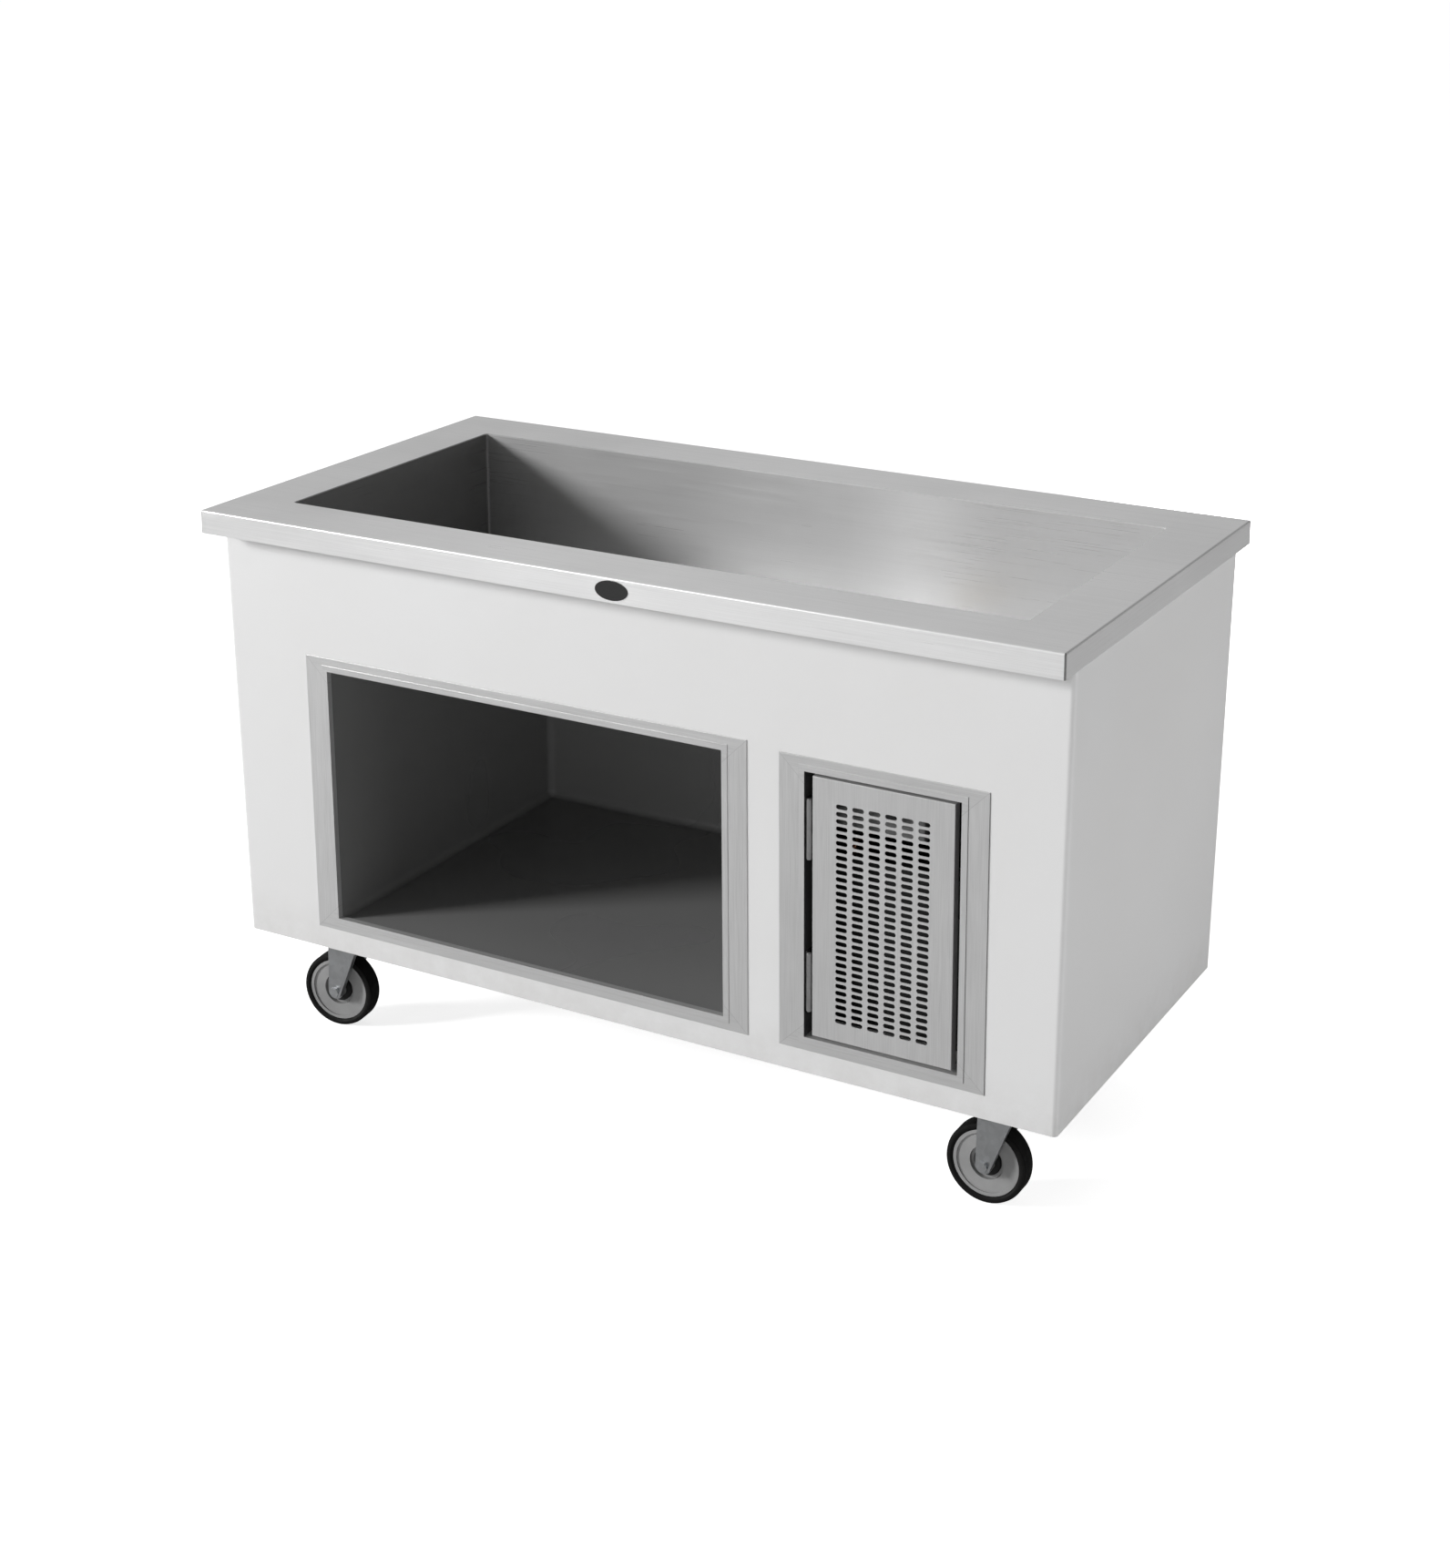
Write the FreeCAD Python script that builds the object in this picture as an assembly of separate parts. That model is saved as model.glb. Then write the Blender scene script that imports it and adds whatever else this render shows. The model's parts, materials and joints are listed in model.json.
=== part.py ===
import FreeCAD, Part
import math
import os

# Mobile salad bar: a refrigerated open well in a stainless counter, on a moulded body with four
# swivel casters.  Millimetres.  +X runs to the right along the counter, +Y to the back, +Z up.
# The origin is on the floor under the middle of the counter.

os.makedirs("parts", exist_ok=True)
V = FreeCAD.Vector

# ---------------------------------------------------------------- driving sizes
TOP_LENGTH = 1473.0  # 58 in
TOP_DEPTH = 762.0  # 30 in
WORK_HEIGHT = 914.0  # 36 in, floor to counter surface
CASTER_HEIGHT = 165.0  # 6 1/2 in, floor to the top of the caster's plate
BODY_LIFT = 12.0  # the body's lower edge is this far above the caster plates' tops

SEAT = 0.3  # gap where one piece is seated against another
RUN = 0.05  # radial clearance of a turning shaft or a pin
CUT = 5.0  # how far a cutting tool runs past what it cuts

# counter top: sheet with its edge turned down
TOP_SHEET = 2.0
TOP_TURNDOWN = 38.0
TOP_RETURN = 14.0  # width of the inward fold at the foot of the turned-down front and back
TOP_EDGE_RADIUS = 3.0

# cold well
RIM_END = 99.0  # counter between the well and each end
RIM_SIDE = 108.5  # the same at the front and the back
RIM_MITRE_PAST = 0.1  # share of the rim by which its mitres run past the corners, to cut right through
WELL_DEPTH = 200.0
WELL_SHEET = 1.5
WELL_CORNER_RADIUS = 6.0
WELL_FLOOR_RADIUS = 5.0
WELL_FLANGE = 12.0
INSULATION_SIDE = 38.0
INSULATION_FLOOR = 29.0
CASING_SHEET = 1.2
CASING_FLANGE = 15.0

# cooling tube under the well's floor
TUBE_RADIUS = 4.8
COIL_RUNS = 6
COIL_FRONT_INSET = 42.5  # these four are measured in from the well's sides
COIL_LEFT_INSET = 47.5
COIL_RIGHT_INSET = 77.5
COIL_LEG_INSET = 37.5  # where both ends of the coil go down through the insulation
COIL_TO_DRAIN = 60.0  # the last run is this far in front of the drain's middle
COIL_LEG_BEND = 20.0
COIL_LEG_DROP = 40.0  # how far the legs reach below the casing

# moulded body, drawn in towards the bottom
BODY_PANEL = 10.0
BODY_DRAFT = 0.0137  # inward slope, mm per mm of height
BODY_CORNER_RADIUS = 8.0
END_OVERHANG = 4.0  # counter past the body at each end, at the foot of the turned-down edge
FRONT_OVERHANG = 49.0  # the same at front and back
MITRE_MARGIN = 20.0
MITRE_DEPTH = 60.0

# openings in the front, measured from the body's lower edge and its ends
OPENING_SILL = 59.0
STORAGE_FROM_LEFT = 197.0
STORAGE_BELOW_COUNTER = 252.0  # the opening's head below the counter's surface
BETWEEN_OPENINGS = 137.0
LOUVRE_FROM_RIGHT = 162.5
LOUVRE_LENGTH = 247.5
LOUVRE_BELOW_COUNTER = 259.0

# stainless trims round the openings
TRIM_SHEET = 1.5
TRIM_SIDE = 42.0
TRIM_ABOVE = 22.5
TRIM_BELOW = 21.5
TRIM_LIP = 10.0  # width of the raised band next to the opening
TRIM_LIP_RISE = 1.0
TRIM_EDGE_RADIUS = 0.8
STORAGE_RETURN = 8.0  # depth of the fold that lines the storage opening
LOUVRE_RETURN = 30.0

# storage compartment: one moulded liner, open at the front
LINER_WALL = 4.0
LINER_RADIUS = 12.0
LINER_BACK_GAP = 1.0

# slotted door
DOOR_SHEET = 1.2
DOOR_DEPTH = 15.0
DOOR_HINGE_GAP = 13.0
DOOR_FREE_GAP = 10.0  # finger gap
DOOR_END_GAP = 5.0  # above and below
DOOR_EDGE_RADIUS = 1.0
SLOT_COLUMNS = 6
SLOT_COLUMN_PITCH = 26.0
SLOT_ROW_PITCH = 11.2
SLOT_LENGTH = 18.5
SLOT_WIDTH = 7.0
SLOT_FIRST_ROW = 33.5  # centre of the lowest row above the door's lower edge
SLOT_LAST_ROW = 39.5  # centre of the highest row below its upper edge

# butt hinges in the gap beside the door
HINGE_LENGTH = 92.0
HINGE_SHEET = 1.6
HINGE_KNUCKLES = 5
HINGE_BARREL_RADIUS = 4.2
HINGE_PIN_RADIUS = 2.0
HINGE_PIN_HEAD = 1.5
HINGE_PIN_HEAD_RADIUS = 3.4
HINGE_FROM_END = 84.0  # centre of each hinge from the door's end
HINGE_AXIS_FROM_DOOR = 6.6
HINGE_AXIS_BEHIND_DOOR = 3.0  # behind the door's front face
HINGE_FRAME_LEAF = 25.0
HINGE_DOOR_LEAF = 11.0

# magnetic catch inside the louvre trim
MAGNET_LENGTH = 28.0
MAGNET_DEPTH = 14.0
MAGNET_HEIGHT = 50.0

# blank oval badge
BADGE_LENGTH = 56.0
BADGE_HEIGHT = 30.0
BADGE_SHEET = 0.8
BADGE_X = 31.0
BADGE_DROP = 19.0

# base frame of welded channels, under a sheet deck
CHANNEL_SHEET = 3.0
RAIL_WIDTH = 100.0
CROSS_WIDTH = 60.0
RAIL_FROM_EDGE = 147.0  # middle of each rail from the counter's front or back edge
RAIL_END_GAP = 12.0
CROSS_FROM_END = 40.0
DIVIDER_PAST_STORAGE = 14.5  # middle of the third cross channel past the storage opening
DECK_SHEET = 2.0
VENT_ROWS = 3
VENT_COLUMNS = 6
VENT_LENGTH = 40.0
VENT_WIDTH = 10.0
VENT_PITCH_X = 50.0
VENT_PITCH_Y = 24.0

# swivel casters
WHEEL_RADIUS = 63.5  # 5 in wheel
TREAD_WIDTH = 32.0
TYRE_THICKNESS = 11.0
TYRE_SHOULDER = 4.0
CASTER_TRAIL = 35.0
FRONT_CASTER_FROM_LEFT = 168.5  # swivel axis from the counter's end
FRONT_CASTER_FROM_RIGHT = 116.5
REAR_CASTER_FROM_END = 186.5
PLATE_LENGTH = 100.0
PLATE_WIDTH = 85.0
PLATE_SHEET = 4.0
PLATE_CORNER_RADIUS = 8.0
RACE_RADIUS = 30.0
RACE_HEIGHT = 10.0
KINGPIN_RADIUS = 6.0
KINGPIN_HEAD_RADIUS = 10.0
KINGPIN_HEAD_HEIGHT = 4.0
CROWN_SHEET = 5.0
CROWN_RADIUS = 30.0
FORK_GAP = 38.0
FORK_SHEET = 4.0
FORK_EYE_RADIUS = 13.0
FORK_LEG_REACH = 12.0  # how far the leg's top reaches past the swivel axis
FORK_LEG_BACK = 11.0  # how far it reaches behind the axle
FORK_FLANGE = 8.0  # turned out along the leg's front edge
AXLE_RADIUS = 5.0
AXLE_HEAD_RADIUS = 8.5
AXLE_HEAD_HEIGHT = 6.0
HUB_RADIUS = 12.5
HUB_SIDE_GAP = 1.0
WEB_HALF = 4.0
DISC_INNER_RADIUS = 27.0
DISC_HALF = 11.0
RIM_BEAD = 5.0
RIM_HALF = 13.5
PLATE_HOLE_RADIUS = 4.3
PLATE_HOLES_X = 76.0
PLATE_HOLES_Y = 60.0
BOLT_RADIUS = 4.0
BOLT_HEAD_RADIUS = 7.4
BOLT_HEAD_HEIGHT = 5.3
NUT_HEIGHT = 6.5
BOLT_TIP = 2.0
# how far each caster's wheel has swung round from trailing straight to the left, in degrees
SWIVEL_ANGLES = {"front_left": 7.0, "front_right": 0.0, "rear_left": -9.0, "rear_right": 4.0}

# drain, in the machine compartment
DRAIN_PAST_STORAGE = 84.5
DRAIN_FROM_BACK = 122.5  # from the well's back wall
DRAIN_FLANGE_RADIUS = 44.0
DRAIN_FLANGE_SHEET = 1.5
DRAIN_BOWL_RADIUS = 29.0
DRAIN_WALL = 2.7
DRAIN_BOWL_DEPTH = 20.0
DRAIN_LEDGE = 3.0
DRAIN_LEDGE_DROP = 4.0
STRAINER_SHEET = 1.2
STRAINER_HOLE_RADIUS = 1.9
STRAINER_RINGS = 3
STRAINER_RING_PITCH = 7.0
PIPE_RADIUS = 14.3  # 1 1/8 in copper
PIPE_WALL = 1.3
PIPE_SOCKET = 18.0
TAIL_RADIUS = 17.0
TAIL_BELOW_CASING = 24.0
DRAIN_NUT_RADIUS = 27.0
DRAIN_NUT_HEIGHT = 8.0
VALVE_ABOVE_DECK = 134.8
VALVE_LENGTH = 74.0
VALVE_RADIUS = 21.0
BALL_RADIUS = 17.0
BALL_BORE_RADIUS = 11.0
BONNET_RADIUS = 10.0
BONNET_LENGTH = 31.0
STEM_RADIUS = 4.5
LEVER_LENGTH = 105.0
LEVER_WIDTH = 13.0
LEVER_SHEET = 3.0
OUTLET_BELOW_FRAME = 25.0
HOSE_TAIL_RADIUS = 16.5
DECK_HOLE_GAP = 0.6

# condensing unit behind the slotted door
UNIT_FROM_RIGHT = 72.5  # from the body's right end
UNIT_LENGTH = 360.0
UNIT_FROM_EDGE = 91.0  # from the counter's front edge
UNIT_WIDTH = 385.0
UNIT_HEIGHT = 25.0
UNIT_SHEET = 2.5
CONDENSER_LEFT = 40.0  # from the unit's left end
CONDENSER_LENGTH = 280.0
CONDENSER_FRONT = 5.0  # behind the unit's front edge
CONDENSER_WIDTH = 44.0
CONTROL_ABOVE_CONDENSER = 48.6  # free height between the condenser and the control box
CONDENSER_PLATE = 2.0
CONDENSER_PLATE_RISE = 2.0
RETURN_BENDS = 5
RETURN_MARGIN = 5.0  # above and below the return bends
SHROUD_SHEET = 1.2
SHROUD_RING_MARGIN = 12.0  # above and below the fan's collar
SHROUD_RING_DEPTH = 30.0
FAN_TIP_GAP = 7.0
FAN_HUB_RADIUS = 22.0
FAN_HUB_DEPTH = 22.0
FAN_BEHIND_CONDENSER = 5.0
FAN_BLADES = 5
FAN_BLADE_CHORD = 46.0
FAN_BLADE_SHEET = 1.6
FAN_BLADE_PITCH = 24.0
FAN_SHAFT_RADIUS = 4.0
FAN_SHAFT_IN_MOTOR = 45.0
MOTOR_RADIUS = 40.0
MOTOR_LENGTH = 76.0
MOTOR_BEHIND_FAN = 12.0
MOTOR_EDGE_RADIUS = 6.0
BRACKET_WIDTH = 60.0
BRACKET_SHEET = 3.0
BRACKET_FOOT = 45.0
COMPRESSOR_FROM_LEFT = 100.0  # from the unit's left end
COMPRESSOR_Y = 0.0
COMPRESSOR_RADIUS = 78.0
COMPRESSOR_BELOW_CONDENSER = 70.0  # how much shorter than the condenser its can is
COMPRESSOR_DOME = 32.0
COMPRESSOR_SEAM_RISE = 3.0
COMPRESSOR_SEAM_HEIGHT = 6.0
FOOT_PLATE_LENGTH = 190.0
FOOT_PLATE_WIDTH = 160.0
FOOT_PLATE_SHEET = 3.0
FOOT_HOLES_X = 166.0
FOOT_HOLES_Y = 136.0
GROMMET_RADIUS = 11.0
GROMMET_HEIGHT = 14.0
MOUNT_BOLT_RADIUS = 4.0
TERMINAL_LENGTH = 24.0
TERMINAL_WIDTH = 60.0
TERMINAL_BELOW_HEAD = 28.0  # the cover's top below the can's
RECEIVER_TO_COIL = 60.0  # in front of the coil's rear leg
RECEIVER_RADIUS = 37.5
RECEIVER_BELOW_CONDENSER = 110.0
RECEIVER_DOME = 14.0
LINE_BEND = 14.0
LINE_STUB = 30.0  # suction and discharge stubs from the can's middle, both ways
LINE_STUB_APART = 14.0  # receiver's stubs from its middle
LINE_SIDE_REACH = 25.0
SUCTION_ABOVE_CONDENSER = 24.8
DISCHARGE_ABOVE_CONDENSER = 14.8
LIQUID_ABOVE_RECEIVER = 44.8
FEED_BELOW_LEGS = 41.8

# controls, hung from the well's casing behind the door
CONTROL_FROM_OPENING = 22.5  # past the left side of the door's opening
CONTROL_LENGTH = 150.0
CONTROL_BEHIND_UNIT = 2.0  # behind the unit's front edge
CONTROL_WIDTH = 58.0
CONTROL_HEIGHT = 108.0
CONTROL_EDGE_RADIUS = 2.0
CONTROL_LINE_FROM_FOOT = 48.0  # height of the switch and knob above the box's lower edge
SWITCH_FROM_LEFT = 35.0
SWITCH_LENGTH = 14.0
SWITCH_HALF_HEIGHT = 12.0
SWITCH_POCKET_GAP = 0.8
SWITCH_PIVOT_DEPTH = 4.0
SWITCH_BACK = 6.0
SWITCH_EDGE = 3.0
SWITCH_PIN_IN_WALL = 2.0
SWITCH_PIN_RADIUS = 1.5
SWITCH_TILT = 10.0  # rest angle of the rocker, off pressed out
KNOB_FROM_LEFT = 100.0
KNOB_RADIUS = 18.0
KNOB_DEPTH = 13.0
KNOB_SHAFT_RADIUS = 3.0
KNOB_SHAFT_LENGTH = 20.0
KNOB_RIB_WIDTH = 3.0
KNOB_RIB_RISE = 1.5
KNOB_EDGE_RADIUS = 2.0

# cord gland in the rear panel
GLAND_FROM_RIGHT = 132.5  # from the body's right end
GLAND_RISE = 123.0  # above the body's lower edge
GLAND_BORE = 5.0
GLAND_THREAD = 8.0
GLAND_HEX = 12.0
GLAND_NUT_HEIGHT = 6.0
GLAND_DOME_RADIUS = 10.0
GLAND_DOME_LENGTH = 12.0
GLAND_DOME_ROUND = 3.0

# ---------------------------------------------------------------- levels worked out from them
TOP_UNDER = WORK_HEIGHT - TOP_SHEET
TURNDOWN_FOOT = WORK_HEIGHT - TOP_TURNDOWN
BODY_BOTTOM = CASTER_HEIGHT + BODY_LIFT
RAIL_CENTRE_Y = TOP_DEPTH / 2 - RAIL_FROM_EDGE
WELL_LENGTH = TOP_LENGTH - 2 * RIM_END
WELL_WIDTH = TOP_DEPTH - 2 * RIM_SIDE
WELL_FLOOR = WORK_HEIGHT - WELL_DEPTH
WELL_UNDER = WELL_FLOOR - WELL_SHEET
COIL_Z = WELL_UNDER - SEAT - TUBE_RADIUS
COIL_SPACE_FLOOR = COIL_Z - TUBE_RADIUS - SEAT
CASING_FLOOR = COIL_SPACE_FLOOR - INSULATION_FLOOR - SEAT
CASING_UNDER = CASING_FLOOR - CASING_SHEET
LINER_OUTSET = TRIM_SHEET + SEAT  # the liner stands this far outside the trimmed opening
DECK_TOP = BODY_BOTTOM + OPENING_SILL - LINER_OUTSET - LINER_WALL
DECK_UNDER = DECK_TOP - DECK_SHEET
UNIT_TOP = DECK_TOP + UNIT_HEIGHT
DRAIN_Y = WELL_WIDTH / 2 - DRAIN_FROM_BACK
COIL_LEFT_X = COIL_LEFT_INSET - WELL_LENGTH / 2
COIL_RIGHT_X = WELL_LENGTH / 2 - COIL_RIGHT_INSET
COIL_LEG_X = WELL_LENGTH / 2 - COIL_LEG_INSET
COIL_FIRST_Y = COIL_FRONT_INSET - WELL_WIDTH / 2
COIL_LAST_Y = DRAIN_Y - COIL_TO_DRAIN
COIL_PITCH = (COIL_LAST_Y - COIL_FIRST_Y) / (COIL_RUNS - 1)
LEG_FOOT_Z = CASING_UNDER - COIL_LEG_DROP


# ---------------------------------------------------------------- shape helpers
def box(x0, x1, y0, y1, z0, z1):
    return Part.makeBox(x1 - x0, y1 - y0, z1 - z0, V(x0, y0, z0))


def centred_box(half_x, half_y, z0, z1):
    return box(-half_x, half_x, -half_y, half_y, z0, z1)


def rod(radius, start, end):
    return Part.makeCylinder(radius, (end - start).Length, start, end - start)


def upright(radius, x, y, z0, z1):
    return rod(radius, V(x, y, z0), V(x, y, z1))


def hexagon(radius, start, end):
    """A hexagonal bar whose corners lie on a circle of this radius."""
    axis = end - start
    turn = FreeCAD.Rotation(V(0, 0, 1), axis)
    corners = [V(radius * math.cos(k * math.pi / 3), radius * math.sin(k * math.pi / 3), 0) for k in range(7)]
    outline = Part.makePolygon([start + turn.multVec(corner) for corner in corners])
    return Part.Face(outline).extrude(axis)


def prism(points, direction):
    return Part.Face(Part.makePolygon(points + points[:1])).extrude(direction)


def turned(profile, centre, axis):
    """A full turn of a closed profile of points about an axis."""
    face = Part.Face(Part.makePolygon(profile + profile[:1]))
    return face.revolve(centre, axis, 360)


def rounded(shape, radius, wanted):
    """Rounds the edges for which wanted(edge) is true."""
    return shape.makeFillet(radius, [edge for edge in shape.Edges if wanted(edge)])


def is_upright(edge):
    return abs(edge.Vertexes[0].Z - edge.Vertexes[-1].Z) > SEAT


def at_depth(y):
    """A test for edges that lie in the plane at depth y."""
    return lambda edge: edge.BoundBox.YMax - edge.BoundBox.YMin < SEAT and abs(edge.BoundBox.YMin - y) < SEAT


def at_height(z):
    """A test for edges that lie level at height z."""
    return lambda edge: edge.BoundBox.ZMax - edge.BoundBox.ZMin < SEAT and abs(edge.BoundBox.ZMin - z) < SEAT


def bent_tube(points, radius, bend, level_bend=None):
    """A solid tube along straight runs joined by arcs of one bend radius.  Corners between two level
    runs take level_bend instead, when it is given.  A run that bends at both ends gives half its length
    to each, which limits the bends of a short one."""
    edges = []
    last = points[0]
    runs = [(end - start).Length for start, end in zip(points, points[1:])]
    rooms = runs[:1] + [length / 2 for length in runs[1:-1]] + runs[-1:]
    for index in range(1, len(points) - 1):
        before, corner, after = points[index - 1:index + 2]
        is_level = abs(before.z - after.z) < SEAT
        arc_radius = level_bend if level_bend and is_level else bend
        to_before = (before - corner).normalize()
        to_after = (after - corner).normalize()
        half_angle = to_before.getAngle(to_after) / 2
        setback = min(arc_radius / math.tan(half_angle), rooms[index - 1], rooms[index])
        arc_radius = setback * math.tan(half_angle)
        arc_start = corner + to_before * setback
        arc_end = corner + to_after * setback
        sagitta = arc_radius / math.sin(half_angle) - arc_radius
        middle = corner + (to_before + to_after).normalize() * sagitta
        if (arc_start - last).Length > RUN:
            edges.append(Part.LineSegment(last, arc_start).toShape())
        edges.append(Part.Arc(arc_start, middle, arc_end).toShape())
        last = arc_end
    edges.append(Part.LineSegment(last, points[-1]).toShape())
    ring = Part.Wire(Part.makeCircle(radius, points[0], points[1] - points[0]))
    return Part.Wire(edges).makePipeShell([ring], True, False)


# ---------------------------------------------------------------- the body's sloping faces
def body_half(z):
    """Half the length and half the depth of the body's outside at height z."""
    drawn_in = BODY_DRAFT * (TURNDOWN_FOOT - z)
    return TOP_LENGTH / 2 - END_OVERHANG - drawn_in, TOP_DEPTH / 2 - FRONT_OVERHANG - drawn_in


def tapered_block(inset, z0, z1):
    """The body's outside, drawn in all round by inset."""
    low_x, low_y = (half - inset for half in body_half(z0))
    high_x, high_y = (half - inset for half in body_half(z1))
    reach = TOP_LENGTH
    front_view = [(-low_x, z0), (low_x, z0), (high_x, z1), (-high_x, z1)]
    end_view = [(-low_y, z0), (low_y, z0), (high_y, z1), (-high_y, z1)]
    across = prism([V(x, -reach, z) for x, z in front_view], V(0, 2 * reach, 0))
    along = prism([V(-reach, y, z) for y, z in end_view], V(2 * reach, 0, 0))
    return across.common(along)


def on_front(shape):
    """Moves a shape from the front face's own frame (X along, Y into the body, Z up the face from the
    body's lower edge) to its place on the sloping front."""
    placed = shape.copy()
    placed.rotate(V(0, 0, 0), V(1, 0, 0), math.degrees(math.atan(BODY_DRAFT)))
    placed.translate(V(0, -body_half(BODY_BOTTOM)[1], BODY_BOTTOM))
    return placed


def before_front():
    """Everything in front of the body's front face, as a cutting tool."""
    reach = TOP_LENGTH
    return on_front(box(-reach, reach, -reach, 0, -reach, reach))


BODY_LEFT = -body_half(TURNDOWN_FOOT)[0]
BODY_RIGHT = body_half(TURNDOWN_FOOT)[0]
LOUVRE_X1 = BODY_RIGHT - LOUVRE_FROM_RIGHT
LOUVRE_X0 = LOUVRE_X1 - LOUVRE_LENGTH
LOUVRE_TOP = WORK_HEIGHT - LOUVRE_BELOW_COUNTER - BODY_BOTTOM
STORAGE_X0 = BODY_LEFT + STORAGE_FROM_LEFT
STORAGE_X1 = LOUVRE_X0 - BETWEEN_OPENINGS
STORAGE_TOP = WORK_HEIGHT - STORAGE_BELOW_COUNTER - BODY_BOTTOM
DOOR_X0 = LOUVRE_X0 + DOOR_HINGE_GAP
DOOR_X1 = LOUVRE_X1 - DOOR_FREE_GAP
DOOR_FOOT = OPENING_SILL + DOOR_END_GAP
DOOR_HEAD = LOUVRE_TOP - DOOR_END_GAP
DOOR_FACE = -TRIM_SHEET  # the door's front face is flush with the trim's
DOOR_BACK = DOOR_FACE + DOOR_DEPTH
SLOT_ROWS = 1 + round((DOOR_HEAD - DOOR_FOOT - SLOT_FIRST_ROW - SLOT_LAST_ROW) / SLOT_ROW_PITCH)
GLAND_X = BODY_RIGHT - GLAND_FROM_RIGHT
GLAND_Z = BODY_BOTTOM + GLAND_RISE


def body_shell():
    outside = rounded(tapered_block(0, BODY_BOTTOM, TOP_UNDER), BODY_CORNER_RADIUS, is_upright)
    return outside.cut(tapered_block(BODY_PANEL, BODY_BOTTOM - CUT, TOP_UNDER + CUT))


def mitred_region(side, is_long, outer, inner):
    """The region of one of four pieces that stand round a rectangle and meet at mitres, which run from
    the outer corners to the inner ones.  side is -1 at the front or the left and 1 at the rear or the
    right; the long pieces are the front and rear."""
    (out_x, out_y), (in_x, in_y) = outer, inner
    if is_long:
        outline = [(-out_x, side * out_y), (out_x, side * out_y), (in_x, side * in_y), (-in_x, side * in_y)]
    else:
        outline = [(side * out_x, -out_y), (side * out_x, out_y), (side * in_x, in_y), (side * in_x, -in_y)]
    return prism([V(x, y, 0) for x, y in outline], V(0, 0, WORK_HEIGHT + CUT))


def panel_region(side, is_long):
    half_x, half_y = body_half(TURNDOWN_FOOT)
    outer = half_x + MITRE_MARGIN, half_y + MITRE_MARGIN
    inner = half_x - MITRE_DEPTH, half_y - MITRE_DEPTH
    return mitred_region(side, is_long, outer, inner)


def opening_hole(x0, x1, top, grow):
    """A cutting tool for an opening in the front, larger than the opening by grow all round."""
    low, high = OPENING_SILL - grow, top + grow
    return on_front(box(x0 - grow, x1 + grow, -CUT, BODY_PANEL + CUT, low, high))


def front_panel(shell):
    storage_hole = opening_hole(STORAGE_X0, STORAGE_X1, STORAGE_TOP, LINER_OUTSET + LINER_WALL + SEAT)
    louvre_hole = opening_hole(LOUVRE_X0, LOUVRE_X1, LOUVRE_TOP, TRIM_SHEET + SEAT)
    return shell.common(panel_region(-1, True)).cut(storage_hole).cut(louvre_hole)


def rear_panel(shell):
    y = body_half(GLAND_Z)[1]
    inside, outside = V(GLAND_X, y - BODY_PANEL - CUT, GLAND_Z), V(GLAND_X, y + CUT, GLAND_Z)
    return shell.common(panel_region(1, True)).cut(rod(GLAND_THREAD + SEAT, inside, outside))


# ---------------------------------------------------------------- counter and well
def split_round_well(shape):
    """The front, rear and two end pieces of something that runs round the well, keyed by side and by
    whether they are long.  Their mitres run from the well's corners to the counter's."""
    past_x, past_y = RIM_END * RIM_MITRE_PAST, RIM_SIDE * RIM_MITRE_PAST
    outer = TOP_LENGTH / 2 + past_x, TOP_DEPTH / 2 + past_y
    inner = WELL_LENGTH / 2 - past_x, WELL_WIDTH / 2 - past_y
    keys = [(side, is_long) for side in (-1, 1) for is_long in (True, False)]
    return {key: shape.common(mitred_region(*key, outer, inner)) for key in keys}


def counter_top():
    """Four strips with their outer edges turned down, welded at the mitres."""
    half_x, half_y = TOP_LENGTH / 2, TOP_DEPTH / 2
    outside = centred_box(half_x, half_y, TURNDOWN_FOOT, WORK_HEIGHT)
    outside = rounded(outside, TOP_EDGE_RADIUS, is_upright)
    outside = rounded(outside, TOP_EDGE_RADIUS, at_height(WORK_HEIGHT))
    inside = centred_box(half_x - TOP_SHEET, half_y - TOP_SHEET, TURNDOWN_FOOT - CUT, TOP_UNDER)
    hole = centred_box(WELL_LENGTH / 2, WELL_WIDTH / 2, TOP_UNDER - CUT, WORK_HEIGHT + CUT)
    top = outside.cut(rounded(inside, TOP_EDGE_RADIUS - TOP_SHEET, is_upright))
    strips = split_round_well(top.cut(rounded(hole, WELL_CORNER_RADIUS, is_upright)))
    reach = half_x - TOP_EDGE_RADIUS
    for side in (-1, 1):
        y0, y1 = sorted((side * (half_y - TOP_SHEET), side * (half_y - TOP_RETURN)))
        fold = box(-reach, reach, y0, y1, TURNDOWN_FOOT, TURNDOWN_FOOT + TOP_SHEET)
        strips[side, True] = strips[side, True].fuse(fold).removeSplitter()
    return Part.makeCompound([solid for strip in strips.values() for solid in strip.Solids])


def tub(grow, floor, rim):
    """The well's inside grown by a wall, with its round corners and floor edges."""
    block = centred_box(WELL_LENGTH / 2 + grow, WELL_WIDTH / 2 + grow, floor, rim)
    block = rounded(block, WELL_CORNER_RADIUS + grow, is_upright)
    return rounded(block, WELL_FLOOR_RADIUS + grow, at_height(floor))


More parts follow.
